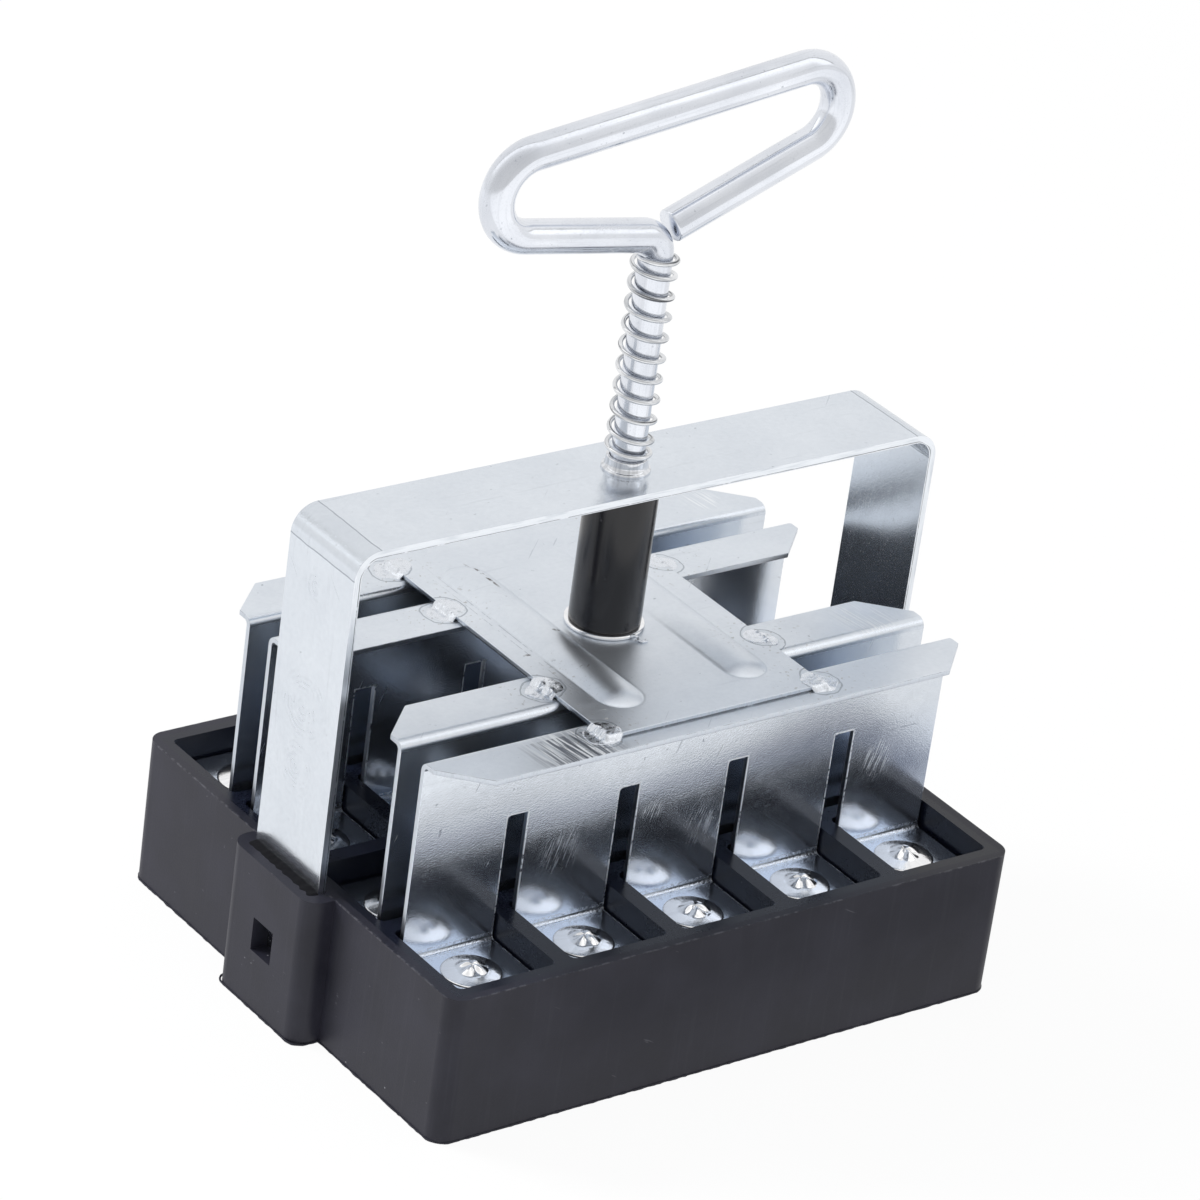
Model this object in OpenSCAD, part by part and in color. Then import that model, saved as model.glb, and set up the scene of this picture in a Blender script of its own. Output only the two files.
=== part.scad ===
/* [Mould] */
// Number of block cells along the length
cell_cols = 5; // [3:1:7]
// Inside width of one square cell
cell = 20.6; // [18:0.2:26]
// Thickness of the outer walls and of the dividers between cells
wall = 3.5; // [2.5:0.1:4.5]
// Height of the mould
mould_h = 29.2; // [26:0.2:36]
// Radius of the mould's outer upright corners
corner_r = 3.5; // [1:0.5:6]
// Radius of the upright corners inside a cell
cell_r = 1.2; // [0.5:0.1:3]

/* [Strap sockets] */
// Width of the socket boss on each end of the mould
boss_w = 26; // [24:0.5:32]
// How far a boss stands out from the end wall
boss_out = 5.2; // [4:0.2:8]
// Radius of a boss's upright corners
boss_r = 3.5; // [1:0.5:4]
// Floor left under the strap's leg
socket_floor = 4; // [2:0.5:8]
// Clearance between the strap's leg and its socket
socket_gap = 0.1; // [0.05:0.05:0.3]
// Width of the square window that the snap tab catches in
window_w = 6.2; // [5:0.2:9]
// Height of the window
window_h = 6.6; // [5:0.2:9]
// Height of the window's centre above the base
window_z = 14.8; // [13:0.2:18]

/* [Bridge strap] */
// Width of the flat strap
strap_w = 20; // [16:0.5:22]
// Thickness of the strap
strap_t = 1.5; // [1:0.1:2.5]
// Outside radius of the strap's two bends
strap_bend_r = 5; // [3:0.5:10]
// Width of the snap tab lanced out of each leg
tab_w = 4.6; // [3:0.2:5]
// How far the tip of the snap tab stands out from the leg
tab_out = 2; // [1:0.2:3]
// Thickness of the snap tab
tab_t = 1; // [0.6:0.1:1.2]

/* [Press blades] */
// Thickness of the blade sheet
sheet_t = 1; // [0.8:0.1:1.5]
// Height from the top of the feet to the top of the flange
blade_h = 39.8; // [36:0.2:50]
// How far the feet lie below the mould's rim at rest
foot_sink = 5; // [4:0.2:8]
// Clearance between a blade's wall and the divider beside it
blade_gap = 1.35; // [1:0.05:1.6]
// Clearance between a blade's ends and the cell's end walls
blade_end_gap = 0.75; // [0.4:0.05:1.5]
// Clearance between a foot's edge and the far wall of its cell
foot_gap = 0.6; // [0.4:0.05:1.5]
// Width of the top flange, from the back of the wall
flange_reach = 11; // [8:0.5:12]
// Inside radius of the folds
fold_r = 0.8; // [0.4:0.1:1.5]
// Height of the divider slots above the top of the feet
slot_rise = 24.6; // [22:0.2:28]
// Clearance each side of a divider in its slot
slot_gap = 0.35; // [0.3:0.05:0.8]
// Radius of the slot's rounded top corner
slot_r = 0.8; // [0.5:0.1:1.9]
// Length of the chamfer at the flange's corners
chamfer_l = 8; // [3:0.5:12]
// Depth of the chamfer at the flange's corners
chamfer_d = 7.5; // [3:0.5:8]

/* [Press plate] */
// Width of the plate that joins the blades
plate_w = 47.8; // [42:0.2:60]
// Thickness of the plate
plate_t = 1; // [0.8:0.1:1.5]
// How far the plate stops short of the outer flanges' edges
plate_inset = 3.7; // [2:0.1:6]
// Width of a stiffening bead
bead_w = 9; // [6:0.5:11]
// Height of a stiffening bead
bead_h = 1.2; // [0.6:0.1:2]
// Distance of a bead's middle from the plate's middle
bead_x = 13.7; // [13.4:0.1:16]
// Distance from a bead's tip to the plate's end
bead_inset = 6.8; // [5:0.2:12]

/* [Rod and handle] */
// Diameter of the bent rod
rod_d = 6.2; // [5:0.1:7]
// Running clearance on the radius between rod and guide bush
rod_gap = 0.08; // [0.05:0.01:0.1]
// Width of the handle loop, between the rod's centrelines
loop_w = 71.8; // [64:0.2:84]
// Radius of the two end turns of the loop, on the centreline
loop_r = 7.8; // [6:0.2:9]
// Height of the grip bar above the shaft's bend
grip_h = 23.8; // [21:0.2:30]
// Slope of the grip bar
grip_tilt = 7.7; // [0:0.1:10]
// Radius of the bend from the shaft into the loop, on the centreline
bend_r = 4; // [3.8:0.1:6]
// Slope of the arm that comes back to the shaft
arm_tilt = 21.2; // [17:0.2:24]
// Gap between the loop's free end and the shaft's bend
end_gap = 0.5; // [0.4:0.1:3]

/* [Return spring] */
// Outside diameter of the spring
spring_d = 8.8; // [8.6:0.1:10]
// Diameter of the spring wire
wire_d = 0.9; // [0.7:0.05:1]
// Fitted length of the spring
spring_l = 39.6; // [34:0.1:60]
// Number of turns
spring_turns = 10.5; // [8.5:1:13.5]
// Rise of the first turn and of the last one
end_pitch = 2.4; // [1.8:0.1:3]
// Clearance under the lowest turn
seat_gap = 0.1; // [0.05:0.05:0.3]
// Clearance between the upper end of the wire and the arm over it
spring_top_gap = 0.35; // [0.3:0.05:0.8]

/* [Sleeve and bush] */
// Outside diameter of the stop sleeve
sleeve_d = 13.2; // [11:0.2:16]
// Length of the stop sleeve
sleeve_l = 28.5; // [24:0.5:40]
// Clearance between the sleeve's top and the strap
stop_gap = 0.2; // [0.1:0.05:0.3]
// Clearance between the sleeve's bore and the rod
sleeve_gap = 0.1; // [0.05:0.05:0.3]
// Diameter of the steel ring under the sleeve
ring_d = 14.8; // [13:0.2:18]
// Thickness of the ring
ring_t = 0.8; // [0.5:0.1:1.2]
// Outside diameter of the guide bush
bush_d = 7.6; // [7.4:0.1:8]
// Height of the bush above the strap
bush_up = 2.6; // [1:0.2:5]
// Clearance between the bush and its hole in the strap
bush_gap = 0.03; // [0.02:0.01:0.05]

/* [Fasteners and seed pins] */
// Diameter of the screw's wide washer head
head_d = 11; // [9:0.5:12]
// Thickness of the washer head at its edge
head_edge = 0.5; // [0.3:0.1:0.8]
// Height of the washer head where it meets the button
head_h = 1.2; // [0.8:0.1:1.6]
// Diameter of the raised button on the head
button_d = 5.6; // [4.5:0.1:6]
// Height of the button above the washer head
button_h = 1.2; // [0.8:0.1:1.8]
// Length of the arms of the cross recess
recess_l = 3.4; // [2.5:0.1:4]
// Width of the arms of the cross recess
recess_w = 0.8; // [0.5:0.1:1]
// Depth of the cross recess
recess_depth = 1; // [0.6:0.1:1.6]
// Diameter of the screw's shank
shank_d = 4; // [3:0.1:4.5]
// Length of the screw's shank
shank_l = 3.8; // [3:0.1:4]
// Clearance around the shank
shank_gap = 0.05; // [0.03:0.01:0.2]
// Diameter of a seed pin at the foot
pin_d = 8; // [7:0.2:10]
// Diameter of a seed pin at the start of its rounded tip
pin_tip_d = 5.6; // [5:0.2:6.6]
// Length of a seed pin
pin_l = 4; // [3.8:0.1:5]

/* [Welds] */
// Diameter of a weld spot
weld_d = 6.4; // [5:0.2:8]
// Height of a weld spot above the plate
weld_h = 0.5; // [0.3:0.1:1]
// Size of the weld fillet around the rod's end
fillet = 2.6; // [1.5:0.1:4]

/* [Hidden] */
$fn = 48;

// Overrun of every cut past the face that it opens
over = 0.5;
// The four blades stand in two pairs, each pair astride a divider
cell_rows = 4;

black_plastic = [0.16, 0.16, 0.18];
zinc_steel = [0.78, 0.8, 0.84];
bright_wire = [0.86, 0.87, 0.88];
weld_metal = [0.68, 0.69, 0.72];

pitch = cell + wall;
mould_l = cell_cols * pitch + wall;
mould_w = cell_rows * pitch + wall;

// Heights above the mould's base, with the press at its upper stop
foot_top = mould_h - foot_sink;
foot_z = foot_top - sheet_t;
flange_top = foot_top + blade_h;
blade_total = blade_h + sheet_t;
slot_z = slot_rise + sheet_t;
plate_top = flange_top + plate_t;
ring_top = plate_top + ring_t;
strap_under = ring_top + sleeve_l + stop_gap;
strap_top = strap_under + strap_t;
bush_top = strap_top + bush_up;

blade_l = mould_l - 2 * (wall + blade_end_gap);
slot_w = wall + 2 * slot_gap;
foot_reach = cell - blade_gap - foot_gap;
screw_reach = cell / 2 - blade_gap;
fold_out = fold_r + sheet_t;
row_face = wall / 2 + blade_gap;
plate_l = 2 * (pitch + row_face + flange_reach - plate_inset);

strap_half = mould_l / 2 + socket_gap + strap_t;
tab_root_z = window_z - window_h / 3;
tab_tip_z = window_z + 0.42 * window_h;

rod_r = rod_d / 2;
rod_lap = 0.3;
bend_thin = 0.03;
rod_end_z = flange_top - fillet;

coil_r = (spring_d - wire_d) / 2;
coil_low = bush_top + seat_gap + wire_d / 2;
coil_rise = spring_l - wire_d;
coil_pitch = (coil_rise - 2 * end_pitch) / (spring_turns - 2);
RINGS_PER_TURN = 8;
WIRE_SIDES = 6;

// Handle loop in the plane of the strap, as [x, z] points
turn_x = loop_w / 2 - loop_r;
turn_drop = loop_r / cos(grip_tilt);
grip_rise = turn_x * tan(grip_tilt);
left_rise = grip_h - grip_rise - turn_drop;
arm_slope = atan2(left_rise, turn_x) - asin(loop_r / norm([turn_x, left_rise]));
spring_top_z = coil_low + coil_rise + wire_d / 2;
bend_z = spring_top_z + spring_top_gap + rod_r / cos(arm_slope) - coil_r * tan(arm_slope);
bend_turn = 90 - arm_slope;
bend_c = [-bend_r, bend_z - bend_r * tan(bend_turn / 2)];
grip_z = bend_z + grip_h;
turn_left = [-turn_x, grip_z - grip_rise - turn_drop];
turn_right = [turn_x, grip_z + grip_rise - turn_drop];

// The returning arm's lower edge stops where it is end_gap away from the bend
arm_dir = [cos(arm_tilt), sin(arm_tilt)];
arm_up = [-sin(arm_tilt), cos(arm_tilt)];
edge_from_bend = (turn_right - (loop_r + rod_r) * arm_up - bend_c) * arm_up;
stop_r = bend_r + rod_r + end_gap;
stop_run = sqrt(max(0, stop_r * stop_r - edge_from_bend * edge_from_bend));
free_end = bend_c + (edge_from_bend + rod_r) * arm_up + stop_run * arm_dir;

function around(c, r, a) = c + r * [cos(a), sin(a)];

// Shared outlines

module round_rect(w, d, r) {
    square([w - 2 * r, d], center = true);
    square([w, d - 2 * r], center = true);
    for (sx = [-1, 1], sy = [-1, 1])
        translate([sx * (w / 2 - r), sy * (d / 2 - r)])
            circle(r);
}

// Runs its children at the middle of every cell of one row
module each_col() {
    for (i = [0 : cell_cols - 1])
        translate([(i - (cell_cols - 1) / 2) * pitch, 0, 0])
            children();
}

// Puts a blade's own frame in place: its back face at y = 0, its flange towards +Y
module in_row(row) {
    faces_front = row % 2 == 1;
    divider = (row <= 2 ? -1 : 1) * pitch;
    translate([0, divider + (faces_front ? -1 : 1) * row_face, foot_z])
        rotate([0, 0, faces_front ? 180 : 0])
            children();
}

// Mould

module socket_boss(side) {
    translate([side * mould_l / 2, 0, 0])
        linear_extrude(mould_h)
            round_rect(2 * boss_out, boss_w, boss_r);
}

module socket_cut(side) {
    slot_t = strap_t + 2 * socket_gap;
    translate([side * (mould_l / 2 + slot_t / 2), 0, socket_floor + (mould_h - socket_floor + over) / 2])
        cube([slot_t, strap_w + 2 * socket_gap, mould_h - socket_floor + over], center = true);
    translate([side * (mould_l / 2 + slot_t / 2 + boss_out / 2), 0, window_z])
        cube([boss_out, window_w, window_h], center = true);
}

module mold_frame() {
    color(black_plastic)
        difference() {
            union() {
                linear_extrude(mould_h)
                    round_rect(mould_l, mould_w, corner_r);
                for (side = [-1, 1])
                    socket_boss(side);
            }
            for (j = [0 : cell_rows - 1])
                translate([0, (j - (cell_rows - 1) / 2) * pitch, -over])
                    each_col()
                        linear_extrude(mould_h + 2 * over)
                            round_rect(cell, cell, cell_r);
            for (side = [-1, 1])
                socket_cut(side);
        }
}

// Bridge strap

module arch_outline(half, top, r) {
    translate([-half, socket_floor])
        square([2 * half, top - r - socket_floor]);
    translate([-half + r, top - 2 * r])
        square([2 * (half - r), 2 * r]);
    for (side = [-1, 1])
        translate([side * (half - r), top - r])
            circle(r);
}

module snap_tab(side) {
    rotate([90, 0, 0])
        linear_extrude(tab_w, center = true)
            mirror([side < 0 ? 1 : 0, 0])
                polygon([
                    [strap_half - tab_t, tab_root_z - tab_t],
                    [strap_half, tab_root_z - tab_t],
                    [strap_half, tab_root_z],
                    [strap_half + tab_out, tab_tip_z],
                    [strap_half + tab_out - tab_t, tab_tip_z],
                    [strap_half - tab_t, tab_root_z]
                ]);
}

module bridge_strap() {
    inner_r = strap_bend_r - strap_t;
    color(zinc_steel) {
        difference() {
            rotate([90, 0, 0])
                linear_extrude(strap_w, center = true)
                    difference() {
                        arch_outline(strap_half, strap_top, strap_bend_r);
                        translate([0, -over])
                            arch_outline(strap_half - strap_t, strap_under + over, inner_r);
                        translate([-strap_half + strap_t, socket_floor - over])
                            square([2 * (strap_half - strap_t), strap_under / 2]);
                    }
            translate([0, 0, strap_under - over])
                cylinder(h = strap_t + 2 * over, d = bush_d + 2 * bush_gap);
            for (side = [-1, 1])
                translate([side * strap_half, 0, (tab_root_z + tab_tip_z) / 2])
                    cube([4 * strap_t, tab_w + 2 * socket_gap, tab_tip_z - tab_root_z], center = true);
        }
        for (side = [-1, 1])
            snap_tab(side);
    }
}

module guide_bush() {
    color(zinc_steel)
        translate([0, 0, strap_under])
            difference() {
                cylinder(h = bush_top - strap_under, d = bush_d);
                translate([0, 0, -over])
                    cylinder(h = bush_top - strap_under + 2 * over, r = rod_r + rod_gap);
            }
}

// Return spring: one unbroken tube along a helix that flattens at both ends

function coil_z(n) = coil_low
    + (n < 1 ? n * end_pitch
       : n > spring_turns - 1 ? coil_rise - (spring_turns - n) * end_pitch
       : end_pitch + (n - 1) * coil_pitch);

function coil_at(n) = [
    -coil_r * cos(360 * (spring_turns - n)),
    -coil_r * sin(360 * (spring_turns - n)),
    coil_z(n)
];

ring_count = round(spring_turns * RINGS_PER_TURN) + 1;
coil_points = [for (i = [0 : ring_count - 1]) coil_at(i / RINGS_PER_TURN)];

function coil_along(i) =
    let (a = coil_points[max(i - 1, 0)], b = coil_points[min(i + 1, ring_count - 1)])
    (b - a) / norm(b - a);

function wire_ring(i) =
    let (t = coil_along(i),
         c = coil_points[i],
         out = [c[0], c[1], 0] / coil_r,
         up_raw = cross(out, t),
         up = up_raw / norm(up_raw),
         side = cross(t, up))
    [for (k = [0 : WIRE_SIDES - 1])
        c + wire_d / 2 * (cos(360 * k / WIRE_SIDES) * side + sin(360 * k / WIRE_SIDES) * up)];

function tube_faces(rings, sides) = [
    for (i = [0 : rings - 2], k = [0 : sides - 1])
        let (a = i * sides + k, b = i * sides + (k + 1) % sides)
        each [[a, b + sides, b], [a, a + sides, b + sides]],
    for (k = [1 : sides - 2]) [0, k, k + 1],
    for (k = [1 : sides - 2])
        [(rings - 1) * sides, (rings - 1) * sides + k + 1, (rings - 1) * sides + k]
];

module return_spring() {
    color(bright_wire)
        polyhedron(
            points = [for (i = [0 : ring_count - 1]) each wire_ring(i)],
            faces = tube_faces(ring_count, WIRE_SIDES));
}

// The least gap between turns, on the ring centres three quarters of a turn apart or more
spring_gap = min([
    for (i = [0 : ring_count - 1], j = [i + 6 : ring_count - 1])
        norm(coil_points[i] - coil_points[j])
]) - wire_d;
echo(spring_least_gap = spring_gap, spring_pitch = coil_pitch);
echo(strap_top = strap_top, flange_top = flange_top, bend_z = bend_z, grip_z = grip_z);
echo(stroke = foot_top + slot_rise - mould_h, arm_slope = arm_slope, free_end = free_end);

// Handle: one rod bent into a shaft and a loop that ends beside the shaft

// Straights run on into the turns, which are thinned a little by the bending
module rod_run(p, q, lap_p = rod_lap, lap_q = rod_lap) {
    run = q - p;
    translate([p[0], 0, p[1]])
        rotate([0, 90 - atan2(run[1], run[0]), 0])
            translate([0, 0, -lap_p])
                cylinder(h = lap_p + norm(run) + lap_q, r = rod_r);
}

module rod_turn(c, r, a_from, a_to) {
    translate([c[0], 0, c[1]])
        rotate([90, 0, 0])
            rotate([0, 0, a_from])
                rotate_extrude(angle = a_to - a_from)
                    translate([r, 0])
                        circle(rod_r - bend_thin);
}

module handle() {
    low_left = 270 - arm_slope;
    top = 90 + grip_tilt;
    low_right = arm_tilt - 90;
    color(zinc_steel) {
        rod_run([0, rod_end_z], around(bend_c, bend_r, 0), lap_p = 0);
        rod_turn(bend_c, bend_r, 0, bend_turn);
        rod_run(around(bend_c, bend_r, bend_turn), around(turn_left, loop_r, low_left));
        rod_turn(turn_left, loop_r, top, low_left);
        rod_run(around(turn_left, loop_r, top), around(turn_right, loop_r, top));
        rod_turn(turn_right, loop_r, low_right, top);
        rod_run(around(turn_right, loop_r, low_right), free_end, lap_q = 0);
    }
}

// Stop sleeve, its ring and the press plate

module stop_sleeve() {
    color(black_plastic)
        translate([0, 0, ring_top])
            difference() {
                cylinder(h = sleeve_l, d = sleeve_d);
                translate([0, 0, -over])
                    cylinder(h = sleeve_l + 2 * over, r = rod_r + sleeve_gap);
            }
}

module sleeve_ring() {
    color(zinc_steel)
        translate([0, 0, plate_top])
            difference() {
                cylinder(h = ring_t, d = ring_d);
                translate([0, 0, -over])
                    cylinder(h = ring_t + 2 * over, r = rod_r + sleeve_gap);
            }
}

// A raised bead with round ends, whose section is an arc of a circle
module bead(w, h, l) {
    arc_r = (w * w / 4 + h * h) / (2 * h);
    run = l / 2 - w / 2;
    rotate([90, 0, 0])
        linear_extrude(2 * run, center = true)
            intersection() {
                translate([0, h - arc_r])
                    circle(arc_r);
                translate([-w / 2, 0])
                    square([w, h]);
            }
    for (end = [-1, 1])
        translate([0, end * run, 0])
            rotate_extrude()
                intersection() {
                    translate([0, h - arc_r])
                        circle(arc_r);
                    square([w / 2, h]);
                }
}

module press_plate() {
    bead_l = plate_l - 2 * bead_inset;
    color(zinc_steel)
        translate([0, 0, flange_top])
            difference() {
                union() {
                    translate([0, 0, plate_t / 2])
                        cube([plate_w, plate_l, plate_t], center = true);
                    for (side = [-1, 1])
                        translate([side * bead_x, 0, plate_t])
                            bead(bead_w, bead_h, bead_l);
                }
                translate([0, 0, -over])
                    cylinder(h = plate_t + 2 * over, r = rod_r + sleeve_gap);
            }
}

module rod_weld() {
    color(weld_metal)
        translate([0, 0, flange_top])
            rotate_extrude()
                polygon([[rod_r, 0], [rod_r + fillet, 0], [rod_r, -fillet]]);
}

// Weld spots where the plate's side edges cross the middles of the flanges

module weld_spot() {
    rise = plate_t + weld_h;
    rotate_extrude()
        polygon([
            [0, 0],
            [weld_d / 2, 0],
            [0.8 * weld_d / 2, 0.5 * rise],
            [0.45 * weld_d / 2, 0.9 * rise],
            [0, rise]
        ]);
}

module weld_spots() {
    mid = row_face + flange_reach / 2;
    color(weld_metal)
        translate([0, 0, flange_top])
            difference() {
                for (side = [-1, 1], half = [-1, 1], y = [pitch - mid, pitch + mid])
                    translate([side * plate_w / 2, half * y, 0])
                        weld_spot();
                translate([0, 0, plate_t / 2])
                    cube([plate_w, plate_l, plate_t], center = true);
            }
}

// Blades, each one a sheet folded to a wall, a top flange and a foot for every cell

module fold(c, quadrant) {
    translate(c)
        intersection() {
            difference() {
                circle(fold_out);
                circle(fold_r);
            }
            translate([-fold_out, quadrant > 0 ? 0 : -fold_out])
                square(fold_out);
        }
}

module blade_section() {
    translate([0, fold_out])
        square([sheet_t, blade_total - 2 * fold_out]);
    translate([fold_out, 0])
        square([foot_reach - fold_out, sheet_t]);
    translate([fold_out, blade_total - sheet_t])
        square([flange_reach - fold_out, sheet_t]);
    fold([fold_out, fold_out], -1);
    fold([fold_out, blade_total - fold_out], 1);
}

module slot_outline() {
    translate([-slot_w / 2, -over])
        square([slot_w, slot_z + over - slot_r]);
    translate([-slot_w / 2, -over])
        square([slot_w - slot_r, slot_z + over]);
    translate([slot_w / 2 - slot_r, slot_z - slot_r])
        circle(slot_r);
}

module flange_corner(side) {
    translate([0, 0, blade_total - sheet_t - over])
        linear_extrude(sheet_t + 2 * over)
            polygon([
                [side * (blade_l / 2 - chamfer_l), flange_reach],
                [side * blade_l / 2, flange_reach - chamfer_d],
                [side * (blade_l / 2 + over), flange_reach - chamfer_d],
                [side * (blade_l / 2 + over), flange_reach + over],
                [side * (blade_l / 2 - chamfer_l), flange_reach + over]
            ]);
}

module blade(row) {
    color(zinc_steel)
        in_row(row)
            difference() {
                rotate([90, 0, 90])
                    linear_extrude(blade_l, center = true)
                        blade_section();
                for (i = [1 : cell_cols - 1])
                    translate([(i - cell_cols / 2) * pitch, foot_reach + over, 0])
                        rotate([90, 0, 0])
                            linear_extrude(foot_reach + 2 * over)
                                slot_outline();
                for (side = [-1, 1])
                    flange_corner(side);
                each_col()
                    translate([0, screw_reach, -over])
                        cylinder(h = sheet_t + 2 * over, d = shank_d + 2 * shank_gap);
            }
}

module blade_1() { blade(1); }
module blade_2() { blade(2); }
module blade_3() { blade(3); }
module blade_4() { blade(4); }

// Screws with a wide domed washer head, a raised button and a cross recess

module screw() {
    top = head_h + button_h;
    difference() {
        union() {
            rotate_extrude()
                polygon([
                    [0, 0],
                    [head_d / 2, 0],
                    [head_d / 2, head_edge],
                    [(head_d + button_d) / 4, head_edge + 0.7 * (head_h - head_edge)],
                    [button_d / 2, head_h],
                    [0.9 * button_d / 2, head_h + 0.55 * button_h],
                    [0.6 * button_d / 2, head_h + 0.88 * button_h],
                    [0, top]
                ]);
            translate([0, 0, -shank_l])
                cylinder(h = shank_l, d = shank_d);
        }
        for (turn = [0, 90])
            rotate([0, 0, turn])
                translate([0, 0, top - recess_depth + (recess_depth + over) / 2])
                    cube([recess_l, recess_w, recess_depth + over], center = true);
    }
}

module screws(row) {
    color(bright_wire)
        in_row(row)
            each_col()
                translate([0, screw_reach, sheet_t])
                    screw();
}

module screws_1() { screws(1); }
module screws_2() { screws(2); }
module screws_3() { screws(3); }
module screws_4() { screws(4); }

// Seed pins, which the screws hold under the feet and which dent each block for its seed

module seed_pin() {
    tip_r = pin_tip_d / 2;
    bore_depth = shank_l - sheet_t + shank_gap;
    difference() {
        rotate_extrude()
            polygon([
                [0, 0],
                [pin_d / 2, 0],
                [tip_r, -pin_l + 0.5 * tip_r],
                [0.72 * tip_r, -pin_l + 0.14 * tip_r],
                [0.4 * tip_r, -pin_l],
                [0, -pin_l]
            ]);
        translate([0, 0, -bore_depth])
            cylinder(h = bore_depth + over, d = shank_d + 2 * shank_gap);
    }
}

module seed_pins(row) {
    color(black_plastic)
        in_row(row)
            each_col()
                translate([0, screw_reach, 0])
                    seed_pin();
}

module seed_pins_1() { seed_pins(1); }
module seed_pins_2() { seed_pins(2); }
module seed_pins_3() { seed_pins(3); }
module seed_pins_4() { seed_pins(4); }

mold_frame();
bridge_strap();
guide_bush();
return_spring();
handle();
stop_sleeve();
sleeve_ring();
press_plate();
rod_weld();
weld_spots();
blade_1();
blade_2();
blade_3();
blade_4();
screws_1();
screws_2();
screws_3();
screws_4();
seed_pins_1();
seed_pins_2();
seed_pins_3();
seed_pins_4();
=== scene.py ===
import math
import random

import bmesh
import bpy
from mathutils import Matrix, Vector, noise


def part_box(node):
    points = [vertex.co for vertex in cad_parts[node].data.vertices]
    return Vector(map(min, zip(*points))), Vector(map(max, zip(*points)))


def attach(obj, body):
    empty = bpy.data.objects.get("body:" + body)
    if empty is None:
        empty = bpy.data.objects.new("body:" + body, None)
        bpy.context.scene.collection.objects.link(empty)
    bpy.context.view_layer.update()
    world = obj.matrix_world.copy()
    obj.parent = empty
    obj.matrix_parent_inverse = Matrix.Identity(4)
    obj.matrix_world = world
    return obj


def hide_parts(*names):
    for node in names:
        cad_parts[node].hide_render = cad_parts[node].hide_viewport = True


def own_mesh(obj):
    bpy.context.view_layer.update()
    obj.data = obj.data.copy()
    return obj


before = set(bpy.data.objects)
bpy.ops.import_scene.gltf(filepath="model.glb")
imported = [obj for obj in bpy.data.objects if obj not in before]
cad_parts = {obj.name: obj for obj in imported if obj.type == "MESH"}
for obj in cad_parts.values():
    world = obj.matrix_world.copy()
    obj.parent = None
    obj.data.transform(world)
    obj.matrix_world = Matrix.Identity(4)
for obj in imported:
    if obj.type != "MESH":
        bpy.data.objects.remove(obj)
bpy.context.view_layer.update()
mm = 0.001
print("frame loaded:", len(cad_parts), "nodes")


# Small helpers

def linear(hexText):  # an sRGB colour like "#c9ccd2" as linear light, and opaque
    parts = [int(hexText[i:i + 2], 16) / 255 for i in (1, 3, 5)]
    return [c / 12.92 if c <= 0.04045 else ((c + 0.055) / 1.055) ** 2.4 for c in parts] + [1.0]


# Adds one node with its settings and links. Its values are sockets, numbers or hex colours: they fill the
# inputs in order or, in a dictionary, those with its names or numbers. It gives back one output, or all of
# them for None.
def node(tree, kind, *values, out=0, **settings):
    made = tree.nodes.new(kind)
    for name, value in settings.items():
        setattr(made, name, value)
    inputs = {}
    for value in values:
        inputs.update(value if isinstance(value, dict) else {len(inputs): value})
    for name, value in inputs.items():
        socket = made.inputs[name]
        if isinstance(value, bpy.types.NodeSocket):
            tree.links.new(value, socket)
        else:
            socket.default_value = linear(value) if str(value).startswith("#") else value
    return made.outputs if out is None else made.outputs[out]


def addPiece(name, mesh):
    piece = bpy.data.objects.new(name, mesh)
    bpy.context.scene.collection.objects.link(piece)
    return piece


def toPlainMesh(piece):  # works the modifiers into the mesh and takes them off
    bpy.context.view_layer.update()
    done = bpy.data.meshes.new_from_object(piece.evaluated_get(bpy.context.evaluated_depsgraph_get()))
    done.name = piece.name
    piece.modifiers.clear()
    piece.data = done
    return piece


def finishPiece(piece, body, slot, *replaced):
    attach(piece, body)
    if replaced:
        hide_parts(*replaced)
    print("  piece", piece.name, len(piece.data.polygons), "faces")
    return piece


def meshFrom(name, points, faces, smooth=True):
    mesh = bpy.data.meshes.new(name)
    mesh.from_pydata([Vector(p) for p in points], [], faces)
    mesh.polygons.foreach_set("use_smooth", [smooth] * len(mesh.polygons))
    mesh.update()
    return mesh


meetWithin = 1e-7  # metres


def tidyMesh(mesh):  # joins points that meet and turns the faces outward
    shape = bmesh.new()
    shape.from_mesh(mesh)
    bmesh.ops.remove_doubles(shape, verts=shape.verts, dist=meetWithin)
    bmesh.ops.recalc_face_normals(shape, faces=shape.faces)
    shape.to_mesh(mesh)
    shape.free()


# Camera: the place and focal length that were fitted to the photograph

cameraSettings = {
    "place": (-0.577548, -0.701528, 0.541173),
    "right": (0.806115, -0.578677, 0.123741),
    "down": (-0.181853, -0.441237, -0.878771),
    "forward": (0.563123, 0.685888, -0.460922),
    "focalPixels": 5734.3,
    "imagePixels": 1200,
    "sensor": 36.0,
    "clip": (0.05, 20),
}


def makeCamera(s):
    lens = bpy.data.cameras.new("camera")
    lens.sensor_width = s["sensor"]
    lens.lens = s["focalPixels"] / s["imagePixels"] * s["sensor"]
    lens.clip_start, lens.clip_end = s["clip"]
    camera = bpy.data.objects.new("camera", lens)
    turn = Matrix((s["right"], [-v for v in s["down"]], [-v for v in s["forward"]])).transposed()
    camera.matrix_world = Matrix.Translation(s["place"]) @ turn.to_4x4()
    bpy.context.scene.collection.objects.link(camera)
    bpy.context.scene.camera = camera


# Studio: a white room with one bright panel overhead, as for a product photograph

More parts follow.
